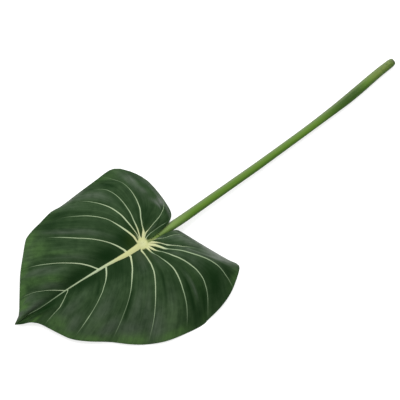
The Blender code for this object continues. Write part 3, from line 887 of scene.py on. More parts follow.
@dataclass
class Net:
    """The middle of the blade's sheet as a net of points, drawn finer than the solid's own.

    Near, inner and outer are the shares at which the points of each vein lie. The midrib's rows are
    (x, y, z), and its widths and greys are (x, half width) and (x, 0 to 1). The petiole is the stem's
    light line at the hub: its rows are (x, y), and its run says at which x it starts, is full, starts to
    fade and is gone.
    """

    near: float = 0.18
    inner: float = 0.42
    outer: float = 0.72
    rows_to_near: int = 14
    rows_beyond: int = 58
    row_crowding: float = 1.6
    vein_steps: tuple = (0.008, 0.018, 0.035, 0.06, 0.1, 0.15)
    panel_steps: int = 8
    station_gap: float = 3.0
    root_steps: tuple = (0.5, 1.1, 2.0, 3.2)
    pleat_share: float = 0.065
    pleat_lean: float = 0.35
    pleat_start: float = 0.08
    pleat_at_margin: float = 0.45
    roll_start: float = 0.8
    roll_ease: float = 0.5
    roll_power: float = 1.5
    vein_fade: float = 0.22
    streak_offset: float = 20.0
    midrib: tuple = (
        (-255, 21, 3), (-233, 22, 9), (-205, 18.5, 15), (-154, 17, 22), (-137, 15.9, 24.6),
        (-118, 14.6, 26.8), (-98, 12.7, 28.5), (-78, 10.9, 29.8), (-58, 8.3, 30.7), (-36, 5.2, 31.5), HUB,
    )
    rib_width: Course = (
        (-255, 0.3), (-200, 0.55), (-153, 1.1), (-137, 1.2), (-118, 1.2), (-98, 1.9), (-78, 2.2),
        (-58, 2.8), (-40, 4.1), (-20, 4.8), (-7, 5.2),
    )
    rib_grey: Course = (
        (-255, 1), (-200, 0.92), (-175, 0.72), (-158, 0.48), (-148, 0.25), (-126, 0.12), (-98, 0.04), (-7, 0),
    )
    petiole: Course = ((-2, 2.4), (3, 1.6), (10, 0.3), (20, 0))
    petiole_half: float = 2.4
    petiole_soft: float = 2.0
    petiole_run: tuple = (-1, 3, 18, 24)
    shares: np.ndarray = field(init=False)
    stations: np.ndarray = field(init=False)

    def __post_init__(self) -> None:
        """Works out the rows, and the columns that cross the midrib."""
        first = self.near * np.linspace(0, 1, self.rows_to_near) ** self.row_crowding
        self.shares = np.concatenate([first, np.linspace(self.near, 1, self.rows_beyond)[1:]])
        marks = {self.midrib[0][0], HUB[0]}
        for half in (LEFT, RIGHT):
            for vein in half.veins:
                if vein.root is not None:
                    marks.add(vein.root)
                    marks |= {vein.root + turn * step for step in self.root_steps for turn in (-1, 1)}
        marks = sorted(marks)
        stations = [marks[-1]]
        for start, end in zip(marks, marks[1:]):
            steps = max(1, round((end - start) / self.station_gap))
            stations += [start + (end - start) * k / steps for k in range(steps)]
        self.stations = np.array(sorted(stations))

    def roots(self, half: HalfBlade) -> np.ndarray:
        """The x of each vein's root along the midrib, from the tip to the hub."""
        return np.array([self.midrib[0][0], *(v.root for v in half.veins if v.root is not None), HUB[0]])

    def columns(self, half: HalfBlade) -> np.ndarray:
        """The vein number of each column of a half, crowded beside the veins.

        Args:
            half: the half.

        Returns:
            Numbers from 0 at the tip to the number of the notch's edge.
        """
        roots = self.roots(half)
        along_rib = np.interp(self.stations, roots, np.arange(len(roots)))
        last = self.vein_steps[-1]
        even = np.linspace(last, 1 - last, self.panel_steps)[1:-1]
        steps = np.array([0, *self.vein_steps, *even, *(1 - s for s in reversed(self.vein_steps))])
        fan = np.concatenate([k + steps for k in range(len(roots) - 1, len(half.veins))])
        return np.array([*along_rib, *fan[1:], len(half.veins)])

    def sag(self, half: HalfBlade, u: np.ndarray, v: np.ndarray) -> np.ndarray:
        """How far a half's folds, its rolled margin and its creases take the sheet down.

        Args:
            half: the half.
            u: vein numbers.
            v: shares of a vein's length.

        Returns:
            Millimetres.
        """
        depth = np.zeros(np.broadcast(u, v).shape)
        for centre, width, deep, start in half.folds:
            depth += deep * np.exp(-(((u - centre) / width) ** 2)) * smooth_step((v - start) / (1 - start))
        first, last, roll = half.curl
        inside = smooth_step((u - first) / self.roll_ease) * smooth_step((last - u) / self.roll_ease)
        depth += roll * inside * smooth_step((v - self.roll_start) / (1 - self.roll_start)) ** self.roll_power
        for crease in half.creases:
            depth += crease.depth * crease.mask(u, v)
        return depth

    def strayed(self, half: HalfBlade, columns: np.ndarray) -> np.ndarray:
        """Where each column runs in the even fan, so that whole columns follow the veins as they stray.

        Args:
            half: the half.
            columns: the vein number of each column.

        Returns:
            The fan's number, by row and column.
        """
        drifts = [np.zeros_like(self.shares)]
        drifts += [np.interp(self.shares, *zip(*vein.drift)) for vein in half.veins]
        low = np.clip(np.floor(columns).astype(int), 0, len(half.veins) - 1)
        part = columns - low
        drifts = np.array(drifts)
        return columns + drifts[low].T * (1 - part) + drifts[low + 1].T * part

    def grid(self, half: HalfBlade, columns: np.ndarray) -> tuple[np.ndarray, np.ndarray]:
        """Lays a half of the sheet.

        Args:
            half: the half.
            columns: the vein number of each column.

        Returns:
            The points, by row and column, and how far apart veins run at each.
        """
        numbers = np.arange(len(half.veins) + 1)
        guides = [
            SmoothLine(numbers, [self.midrib[0], *(getattr(vein, name) for vein in half.veins)])
            for name in ("near", "inner", "outer")
        ]
        margin = np.array([(0, *self.midrib[0]), *half.margin], float)
        guides.append(SmoothLine(margin[:, 0], margin[:, 1:]))
        roots = self.roots(half)
        rib = np.array(self.midrib, float)
        rib_line = SmoothLine(rib[:, 0], rib)
        fan = self.strayed(half, columns)
        rows = []
        for share, u in zip(self.shares, fan):
            start = rib_line.at(np.interp(u, np.arange(len(roots)), roots))
            across = np.stack([start, *(guide.at(u) for guide in guides)]).reshape(5, -1)
            vein = SmoothLine((0, self.near, self.inner, self.outer, 1), across)
            rows.append(vein.at(share).reshape(-1, 3))
        grid = np.array(rows)

        v = self.shares[:, None]
        spacing = np.linalg.norm(np.gradient(grid, columns, axis=1), axis=2)
        part = columns - np.floor(columns)
        bulge = np.sin(np.pi * part) * (1 + self.pleat_lean * np.cos(np.pi * part))
        swell = smooth_step((v - self.pleat_start) / (self.inner - self.pleat_start))
        swell = swell * (1 - (1 - self.pleat_at_margin) * smooth_step((v - self.outer) / (1 - self.outer)))
        grid[:, :, 2] += self.pleat_share * spacing * bulge * swell - self.sag(half, fan, v)
        return grid, spacing

    def look(self, half: HalfBlade, nearest: np.ndarray, name: str) -> np.ndarray:
        """Reads one course of each column's nearest vein.

        Args:
            half: the half.
            nearest: the place of each column's nearest vein.
            name: the course's name.

        Returns:
            Its value, by row and column.
        """
        table = np.array([np.interp(self.shares, *zip(*getattr(vein, name))) for vein in half.veins])
        return table[nearest].T

    @staticmethod
    def toned(tones: tuple[Patch, ...], u: np.ndarray, v: np.ndarray) -> np.ndarray:
        """The strongest of some patches at each point.

        Args:
            tones: the patches.
            u: vein numbers.
            v: shares of a vein's length.

        Returns:
            Numbers from 0 to 1.
        """
        tone = np.zeros_like(u)
        for patch in tones:
            aside = (u - patch.vein - patch.lean * (v - patch.share)) / patch.across
            beyond = (v - patch.share) / patch.along
            tone = np.maximum(tone, patch.strength * np.exp(-(aside ** 2) - beyond ** 2))
        return tone

    @staticmethod
    def lined(lines: tuple[Crease, ...], u: np.ndarray, v: np.ndarray) -> np.ndarray:
        """The strongest of some lines at each point, at most 1."""
        return np.clip(np.max([line.depth * line.mask(u, v) for line in lines], axis=0), 0, 1)

    def marks(self, half: HalfBlade, columns: np.ndarray, grid: np.ndarray,
              spacing: np.ndarray) -> dict[str, np.ndarray]:
        """The numbers that the surface carries for its veins and tones.

        Args:
            half: the half.
            columns: the vein number of each column.
            grid: the sheet's points.
            spacing: how far apart veins run at each point.

        Returns:
            Arrays of the grid's shape, by attribute name.
        """
        u = self.strayed(half, columns)
        v = np.broadcast_to(self.shares[:, None], u.shape)
        nearest = np.clip(np.round(columns).astype(int), 1, len(half.veins)) - 1
        gone = np.array([vein.gone for vein in half.veins])[nearest]
        ends = (np.round(columns) < 1) | (np.round(columns) >= len(half.veins))
        x, y = grid[:, :, 0], grid[:, :, 1]
        spine = SmoothLine([p[0] for p in self.midrib], [[p[1]] for p in self.midrib]).at(x.ravel())
        off_petiole = np.abs(y - np.interp(x, *zip(*self.petiole)))
        petiole = 1 - smooth_step((off_petiole - self.petiole_half) / self.petiole_soft + 0.5)
        start, full, fades, gone_at = self.petiole_run
        petiole *= smooth_step((x - start) / (full - start))
        petiole *= 1 - smooth_step((x - fades) / (gone_at - fades))
        return {
            "vein_gap": np.abs(columns - np.round(columns)) * spacing,
            "vein_half": self.look(half, nearest, "width"),
            "vein_show": np.where(ends, 0, 1 - smooth_step((v - gone) / self.vein_fade + 1)),
            "vein_grey": self.look(half, nearest, "grey"),
            "rib_gap": np.hypot(np.abs(y - spine.reshape(x.shape)), np.maximum(x - HUB[0], 0)),
            "rib_half": np.interp(x, *zip(*self.rib_width)),
            "rib_grey": np.interp(x, *zip(*self.rib_grey)),
            "hub_gap": np.hypot(x - HUB[0], y - HUB[1]),
            "petiole": petiole,
            "panel": columns + np.zeros_like(v) + (0 if half.side is Side.LEFT else self.streak_offset),
            "share": v,
            # Glow is bright green, the grey tone and sheen are painted sheen, and shade is painted shade
            "glow": self.toned(half.glows, u, v),
            "bloom": self.toned(half.grey_sheens, u, v),
            "shade": np.maximum(self.toned(half.shades, u, v), self.lined(half.creases, u, v)),
            "sheen": np.maximum(self.toned(half.sheens, u, v), self.lined(half.gleams, u, v)),
        }


@dataclass(frozen=True)
class LeafFinish:
    """The blade's upper face: deep green with cream veins and brighter margins, painted grey and silver sheen
    where it shines, and painted shade near the midrib and hub and in its folds and creases.

    Spans are in millimetres from the hub. A pair of parts says how much of a tone shows everywhere, and
    how much more of it shows in the streaks.
    """

    deep: Colour = (0.0030, 0.0150, 0.0025, 1)
    green: Colour = (0.0345, 0.0640, 0.0265, 1)
    # grey_green is the colour of the painted grey sheen, and silver of the painted silver sheen
    grey_green: Colour = (0.070, 0.090, 0.066, 1)
    silver: Colour = (0.170, 0.175, 0.165, 1)
    bright: Colour = (0.062, 0.132, 0.032, 1)
    olive: Colour = (0.010, 0.023, 0.003, 1)
    hub: Colour = (0.42, 0.434, 0.228, 1)
    rib: Colour = (0.395, 0.408, 0.190, 1)
    cream: Colour = (0.335, 0.400, 0.250, 1)
    pale: Colour = (0.235, 0.310, 0.185, 1)
    faded: Colour = (0.075, 0.115, 0.060, 1)
    petiole: Colour = (0.145, 0.175, 0.060, 1)
    streaks: tuple = (8.0, 3.0)
    fine_streaks: tuple = (27.0, 7.0)
    clouds: float = 22.0
    mottles: float = 85.0
    ragged_edges: float = 260.0
    pores: float = 1400.0
    relief_depth: float = 0.00030
    vein_soft: float = 0.45
    rib_soft: float = 0.6
    hub_soft: float = 1.8
    hub_radius: float = 9.5
    hub_wander: float = 4.0
    hub_core: tuple = (2.0, 9.0)
    hub_shadow: tuple = (14.0, 40.0)
    fresh_veins: tuple = (14.0, 45.0)
    fresh_rib: tuple = (35.0, 85.0)
    root_shadow: tuple = (0.42, 0.5)
    grey_sheen_parts: tuple = (0.35, 0.65)
    glow_parts: tuple = (0.35, 0.75)
    sheen_parts: tuple = (0.40, 0.60)
    gloss: float = 0.03

    def make(self) -> bpy.types.Material:
        """Builds the material.

        Returns:
            The material.
        """
        paint = Paint("leaf_face")
        panel, share = paint.attribute("panel"), paint.attribute("share")
        across, along = self.streaks
        broad = paint.noise(paint.vector(panel * across, share * along, 0.0), 1.0, 3.0, 0.6)
        across, along = self.fine_streaks
        fine = paint.noise(paint.vector(panel * across, share * along, 4.0), 1.0, 2.0, 0.6)
        cloud = paint.noise(paint.place(), self.clouds)
        mottle = paint.noise(paint.place(), self.mottles, 3.0, 0.6).step(0.30, 0.70)
        streak = (broad * 0.72 + fine * 0.28).step(0.30, 0.70) * 0.62 + mottle * 0.38
        hub_gap = paint.attribute("hub_gap")
        dark = paint.mix(hub_gap.step(*self.hub_shadow), self.olive, self.deep)
        tone = 0.08 + 0.92 * (streak * 0.62 + cloud * 0.38)
        sheet = paint.mix(tone, dark, self.green)
        until, most = self.root_shadow
        sheet = paint.mix((1.0 - share.step(0.0, until)) * most, sheet, dark)
        # Painted grey sheen: grey-green patches where the surface would catch the light
        all_over, streaked = self.grey_sheen_parts
        sheet = paint.mix(paint.attribute("bloom") * (all_over + streaked * streak), sheet, self.grey_green)
        all_over, streaked = self.glow_parts
        sheet = paint.mix(paint.attribute("glow") * (all_over + streaked * streak), sheet, self.bright)
        # Painted shade: the dark patches, and the creases' furrows darkened
        sheet = paint.mix(paint.attribute("shade") * (1.0 - 0.20 * fine), sheet, dark)
        all_over, streaked = self.sheen_parts
        sheet = paint.mix(paint.attribute("sheen") * (all_over + streaked * streak), sheet, self.silver)

        gap, half = paint.attribute("vein_gap"), paint.attribute("vein_half")
        rough = paint.noise(paint.place(), self.ragged_edges)
        vein = (1.0 - gap.step(half - self.vein_soft, half + self.vein_soft)) * paint.attribute("vein_show")
        fresh = paint.mix(hub_gap.step(*self.fresh_veins), self.hub, self.cream)
        colour = paint.mix(vein, sheet, self.veined(paint, paint.attribute("vein_grey"), fresh))
        rib_gap, rib_half = paint.attribute("rib_gap"), paint.attribute("rib_half")
        rib_edge = rib_half * (0.9 + 0.2 * rough)
        rib = 1.0 - rib_gap.step(rib_edge - self.rib_soft, rib_edge + self.rib_soft)
        spine = paint.mix(hub_gap.step(*self.fresh_rib), self.rib, self.cream)
        colour = paint.mix(rib, colour, self.veined(paint, paint.attribute("rib_grey"), spine))
        hub_edge = self.hub_radius + (rough - 0.5) * self.hub_wander
        hub = 1.0 - hub_gap.step(hub_edge - self.hub_soft, hub_edge + self.hub_soft)
        colour = paint.mix(hub, colour, self.rib)
        colour = paint.mix(1.0 - hub_gap.step(*self.hub_core), colour, self.hub)
        colour = paint.mix(paint.attribute("petiole"), colour, self.petiole)

        pores = paint.noise(paint.place(), self.pores)
        paint.bump(broad * 0.6 + fine * 0.3 + pores * 0.10, self.relief_depth)
        roughness = 0.46 + 0.14 * fine + 0.08 * vein
        return paint.finish(colour, roughness, Specular_IOR_Level=self.gloss)

    def veined(self, paint: Paint, grey: Number,
               fresh: "Colour | bpy.types.NodeSocket") -> bpy.types.NodeSocket:
        """A vein's colour: fresh at greyness 0, pale green at a half and nearly the sheet's own at 1."""
        first = paint.mix(paint.math("MINIMUM", grey * 2.0, 1.0), fresh, self.pale)
        return paint.mix(paint.largest(grey * 2.0 - 1.0, 0.0), first, self.faded)


@dataclass(frozen=True)
class LeafBackFinish:
    """The blade's underside: paler and duller green, with veins that hardly differ in colour."""

    dull: Colour = (0.045, 0.085, 0.030, 1)
    pale: Colour = (0.090, 0.150, 0.055, 1)
    vein: Colour = (0.26, 0.34, 0.13, 1)
    streaks: tuple = (18.0, 4.0)
    clouds: float = 30.0
    pores: float = 1100.0
    relief_depth: float = 0.00025
    vein_reach: tuple = (0.2, 1.2)
    rib_reach: float = 1.5

    def make(self) -> bpy.types.Material:
        """Builds the material.

        Returns:
            The material.
        """
        paint = Paint("leaf_back")
        panel, share = paint.attribute("panel"), paint.attribute("share")
        across, along = self.streaks
        streak = paint.noise(paint.vector(panel * across, share * along, 9.0), 1.0, 3.0, 0.6)
        cloud = paint.noise(paint.place(), self.clouds, 3.0)
        sheet = paint.mix((streak * 0.5 + cloud * 0.5).step(0.3, 0.7), self.dull, self.pale)
        gap, half = paint.attribute("vein_gap"), paint.attribute("vein_half")
        inside, outside = self.vein_reach
        vein = (1.0 - gap.step(half - inside, half + outside)) * paint.attribute("vein_show")
        rib_gap, rib_half = paint.attribute("rib_gap"), paint.attribute("rib_half")
        rib = 1.0 - rib_gap.step(rib_half, rib_half + self.rib_reach)
        colour = paint.mix(paint.largest(vein * 0.7, rib), sheet, self.vein)
        pores = paint.noise(paint.place(), self.pores, 3.0)
        paint.bump(streak * 0.5 + pores * 0.3, self.relief_depth)
        return paint.finish(colour, 0.55 + 0.15 * cloud)


@dataclass(frozen=True)
class StemFinish:
    """The stem's skin: yellow-green with a ringed far end, with painted sheen on its left flank, painted
    shade on its right flank, along its edges and at a bend, and painted light near the hub.

    Spans are in metres along the stem, from the hub. A pattern's pair says how fine it is around the stem
    and along it.
    """

    green: Colour = (0.052, 0.122, 0.008, 1)
    # fresh is the lighter green of the painted light near the hub
    fresh: Colour = (0.138, 0.210, 0.058, 1)
    olive: Colour = (0.078, 0.140, 0.018, 1)
    deep: Colour = (0.028, 0.075, 0.006, 1)
    dark: Colour = (0.019, 0.047, 0.007, 1)
    edge: Colour = (0.050, 0.056, 0.036, 1)
    pale: Colour = (0.120, 0.155, 0.075, 1)
    ripe: Colour = (0.100, 0.136, 0.030, 1)
    painted_light_until: tuple = (0.030, 0.095)
    painted_bend_shade: tuple = (0.325, 0.405, 0.415, 0.455)
    ripe_from: tuple = (0.430, 0.475)
    ringed_from: tuple = (0.455, 0.490)
    cut_at: tuple = (0.4935, 0.4990)
    flecked_from: tuple = (0.40, 0.47)
    fibres: tuple = (9.0, 12.0)
    clouds: tuple = (1.0, 30.0)
    flecks: tuple = (3.0, 420.0)
    rings: tuple = (2.0, 260.0)
    relief_depth: float = 0.0003
    gloss: float = 0.1

    def make(self) -> bpy.types.Material:
        """Builds the material.

        Returns:
            The material.
        """
        paint = Paint("stem_skin")
        grain = paint.node("ShaderNodeAttribute", {"attribute_name": "grain"})
        right, down, along = paint.split(grain.outputs["Vector"])
        fibre, cloud, fleck, ring = (
            paint.noise(paint.vector(right * fine, down * fine, along * finer), 1.0, detail, roughness)
            for (fine, finer), detail, roughness in (
                (self.fibres, 3.0, 0.6), (self.clouds, 3.0, 0.5),
                (self.flecks, 1.0, 0.5), (self.rings, 2.0, 0.6),
            )
        )
        colour = paint.mix((fibre * 0.6 + cloud * 0.5).step(0.35, 0.75), self.green, self.olive)
        # Painted light: the first stretch from the hub is lightened where the lobes shade it
        colour = paint.mix((1.0 - along.step(*self.painted_light_until)) * 0.9, colour, self.fresh)
        # Painted shade: a darker stretch where the stem bends
        painted_bend_shade = along.step(*self.painted_bend_shade[:2]) * (1.0 - along.step(*self.painted_bend_shade[2:]))
        colour = paint.mix(painted_bend_shade * 0.85, colour, self.dark)
        colour = paint.mix(along.step(*self.ripe_from) * 0.85, colour, self.ripe)
        colour = paint.mix(along.step(*self.ringed_from) * ring.step(0.42, 0.60) * 0.5, colour, self.dark)
        colour = paint.mix(along.step(*self.cut_at) * 0.7, colour, self.edge)
        flecked = 0.16 + 0.2 * along.step(*self.flecked_from)
        colour = paint.mix(fleck.step(0.56, 0.72) * flecked, colour, self.pale)
        sheen = (right * -1.0).step(0.30, 0.75) * (0.35 + 0.5 * cloud)
        colour = paint.mix(sheen, colour, self.pale)
        # Painted shade: the right flank darker
        colour = paint.mix(right.step(0.15, 0.85) * 0.75, colour, self.deep)
        # Painted shade: a thin dark line along both outer edges
        rim = paint.math("ABSOLUTE", right).step(0.90, 0.99)
        colour = paint.mix(rim * 0.8, colour, self.edge)
        colour = paint.mix(down.step(0.2, 0.9) * 0.5, colour, self.pale)
        paint.bump(fibre * 0.7 + fleck * 0.25, self.relief_depth)
        return paint.finish(colour, 0.45 + 0.14 * cloud, Specular_IOR_Level=self.gloss)


@dataclass(frozen=True)
class StubFinish:
    """The stub under the hub: cream where it leaves the hub, turning to the stem's green."""

    cream: Colour = (0.42, 0.46, 0.16, 1)
    # The olive is lighter than the stem's green: partly the stub's colour, partly painted light where the
    # lobes shade it
    olive: Colour = (0.160, 0.260, 0.040, 1)
    turns_at: tuple = (-0.120, -0.106)
    turn_wander: float = 0.006
    fibres: tuple = (40.0, 900.0)
    relief_depth: float = 0.0003

    def make(self) -> bpy.types.Material:
        """Builds the material.

        Returns:
            The material.
        """
        paint = Paint("stub_skin")
        x, y, _ = paint.split(paint.place())
        along, across = self.fibres
        fibre = paint.noise(paint.vector(x * along, y * across, 0.0), 1.0)
        colour = paint.mix((x + fibre * self.turn_wander).step(*self.turns_at), self.cream, self.olive)
        paint.bump(fibre, self.relief_depth)
        return paint.finish(colour, 0.5 + 0.1 * fibre)


def swept(rings: list, sides: int) -> tuple[np.ndarray, list]:
    """A round body along a run of rings, closed at both ends.

    Args:
        rings: (centre, direction, radius) of each.
        sides: how many points a ring has.

    Returns:
        The points and the faces.
    """
    points, faces = [], []
    turns = 2 * np.pi * (np.arange(sides) + 0.5) / sides - np.pi / 2
    for centre, direction, radius in rings:
        forward = np.asarray(direction, float) / np.linalg.norm(direction)
        across = np.cross((0, 0, 1), forward)
        across /= np.linalg.norm(across)
        up = np.cross(forward, across)
        ring = np.cos(turns)[:, None] * across + np.sin(turns)[:, None] * up
        points.append(np.asarray(centre) + radius * ring)
    for ring in range(len(rings) - 1):
        for k in range(sides):
            a, b = ring * sides + k, ring * sides + (k + 1) % sides
            faces.append((a, b, b + sides, a + sides))
    last = (len(rings) - 1) * sides
    faces.append(tuple(reversed(range(sides))))
    faces.append(tuple(range(last, last + sides)))
    return np.vstack(points), faces


@dataclass
class Stem:
    """The long stem, with the socket for the blade's peg at its leaf end and a rounded far end.

    The path's rows are (x, y, z, radius). The end's turns are degrees of its rounding. The fibres are low
    ridges, which rise past the mouth and fall before the end over the two lengths of fibre_ease.
    """

    path: tuple = (
        (22, 0.2, 21, 6.6), (40, -0.5, 20.1, 7.1), (73, -2, 18.6, 7.3), (122, -3, 16.4, 7.05),
        (171, -4, 14.3, 6.85), (220, -4.9, 12.3, 6.75), (269, -5.3, 10.5, 6.65), (318, -5.8, 9, 6.9),
        (350, -5.5, 8.1, 7.2), (383, -4.7, 7.5, 7.7), (405, -3.6, 7.4, 7.95), (432, -1.8, 7.4, 7.95),
        (448, -0.4, 7.4, 7.75), (470, 1.1, 7.4, 7.4), (490, 1.7, 7.3, 7.0),
    )
    end: float = 500.5
    end_fullness: float = 0.45
    end_turns: tuple = (15, 30, 42, 53, 62, 70, 76, 81)
    ring_gap: float = 2.5
    sides: int = 64
    mouth_bevel: float = 1.0
    mouth_depth: float = 0.6
    bore_radius: float = 3.0
    bore_depth: float = 14.0
    drill_sides: int = 48
    fibre_depth: float = 0.16
    fibre_counts: tuple = (9, 23)
    fibre_twist: float = 40.0
    plain_mouth: float = 1.0
    fibre_ease: tuple = (3.0, 8.0)
    sharp_angle: float = math.radians(45)

    def line(self) -> SmoothLine:
        """The stem's course and radius, by x."""
        return SmoothLine([p[0] for p in self.path], self.path)

    def direction(self, x: float, reach: float = 0.5) -> np.ndarray:
        """The stem's direction at an x, of length 1."""
        run = (self.line().at(x + reach) - self.line().at(x - reach))[0, :3]
        return run / np.linalg.norm(run)

    def course(self) -> tuple[np.ndarray, np.ndarray]:
        """The points along the stem, from its mouth to its end.

        Returns:
            The points and their radii.
        """
        start, last = self.path[0][0], self.path[-1][0]
        body = self.line().at(np.linspace(start, last, round((last - start) / self.ring_gap)))
        mouth, radius = body[0, :3], body[0, 3]
        inside = mouth + self.direction(start) * self.mouth_depth
        bevel = [(*mouth, radius - self.mouth_bevel), (*inside, radius)]
        tail, radius = body[-1, :3], body[-1, 3]
        cap = []
        for turn in self.end_turns:
            here = tail + self.direction(last) * (self.end - tail[0]) * math.sin(math.radians(turn))
            cap.append((*here, radius * math.cos(math.radians(turn)) ** self.end_fullness))
        line = np.vstack([bevel, body[1:], cap])
        return line[:, :3], line[:, 3]

    def grow(self, host: bpy.types.Object, skin: bpy.types.Material) -> bpy.types.Object:
        """Sweeps the stem along its course, ridges it with fibres and bores its socket, by Geometry Nodes.

        Args:
            host: a run of edges that carries radius and along.
            skin: the stem's material.

        Returns:
            The stem as a plain mesh.
        """
        growth = Growth("swept stem")
        sides = growth.count("Sides", self.sides)
        depth = growth.size("Fibre Depth", self.fibre_depth * MM)
        bore_radius = growth.size("Bore Radius", self.bore_radius * MM)
        bore_depth = growth.size("Bore Depth", self.bore_depth * MM)
        cover = growth.material("Skin", skin)

        course = growth.node("GeometryNodeMeshToCurve", None, {"Mesh": growth.entry.outputs["Geometry"]})
        level = growth.node("GeometryNodeSetCurveNormal", {"mode": "Z_UP"}, {"Curve": course.outputs[0]})
        ring = growth.node("GeometryNodeCurvePrimitiveCircle", None, {"Resolution": sides, "Radius": 1.0})
        place = growth.node("GeometryNodeSplineParameter")
        turn = growth.node(
            "GeometryNodeStoreNamedAttribute", {"data_type": "FLOAT", "domain": "POINT"},
            {"Geometry": ring.outputs[0], "Name": "turn", "Value": place.outputs["Factor"]},
        )
        sweep = growth.node(
            "GeometryNodeCurveToMesh", None,
            {"Curve": level.outputs[0], "Profile Curve": turn.outputs[0],
             "Scale": growth.attribute("radius"), "Fill Caps": True},
        )
        angle = growth.attribute("turn") * (2 * math.pi)
        along = growth.attribute("along")
        ridges = sum(
            growth.math("SINE", angle * float(count) + along * (self.fibre_twist - count)) / (1.0 + k)
            for k, count in enumerate(self.fibre_counts)
        )
        peak = sum(1.0 / (1.0 + k) for k in range(len(self.fibre_counts)))
        grain = growth.node(
            "GeometryNodeStoreNamedAttribute", {"data_type": "FLOAT_VECTOR", "domain": "POINT"},
            {"Geometry": sweep.outputs[0], "Name": "grain",
             "Value": growth.vector(growth.math("COSINE", angle), growth.math("SINE", angle), along)},
        )
        outward = growth.node("GeometryNodeInputNormal").outputs[0]
        height = (ridges - peak) * depth * 0.5 * growth.attribute("ridged")
        ridged = growth.lifted(grain.outputs[0], outward, height)
        drill = growth.node(
            "GeometryNodeMeshCylinder", None,
            {"Vertices": self.drill_sides, "Radius": bore_radius, "Depth": bore_depth * 2.0},
        )
        mouth = (np.array(self.path[0][:3]) + HUB_FROM_ORIGIN) * MM
        tilt = Vector(self.direction(self.path[0][0])).to_track_quat("Z", "Y").to_euler()
        set_drill = growth.node(
            "GeometryNodeTransform", None,
            {"Geometry": drill.outputs[0], "Translation": tuple(mouth), "Rotation": tuple(tilt)},
        )
        bored = growth.node("GeometryNodeMeshBoolean", {"operation": "DIFFERENCE", "solver": "MANIFOLD"})
        growth.tree.links.new(ridged, bored.inputs["Mesh 1"])
        growth.tree.links.new(set_drill.outputs[0], bored.inputs["Mesh 2"])
        covered = growth.node(
            "GeometryNodeSetMaterial", None, {"Geometry": bored.outputs[0], "Material": cover},
        )
        return growth.run(host, covered.outputs[0])

    def build(self) -> bpy.types.Object:
        """Makes the stem and sets it in the frame.

        Returns:
            The stem.
        """
        points, radii = self.course()
        edges = [(k, k + 1) for k in range(len(points) - 1)]
        stem = new_object("stem_skin", points, edges, [])
        carry(stem.data, "radius", radii * MM)
        carry(stem.data, "along", points[:, 0] * MM)
        from_mouth = points[:, 0] - self.path[0][0] - self.plain_mouth
        first, last = self.fibre_ease
        ridged = smooth_step(from_mouth / first) * smooth_step((self.end - points[:, 0]) / last)
        carry(stem.data, "ridged", ridged)
        self.grow(stem, StemFinish().make())
        stem.data.shade_smooth()
        stem.data.set_sharp_from_angle(angle=self.sharp_angle)
        keep_inside(stem.data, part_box("stem"))
        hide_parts("stem")
        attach(stem, "root")
        return stem


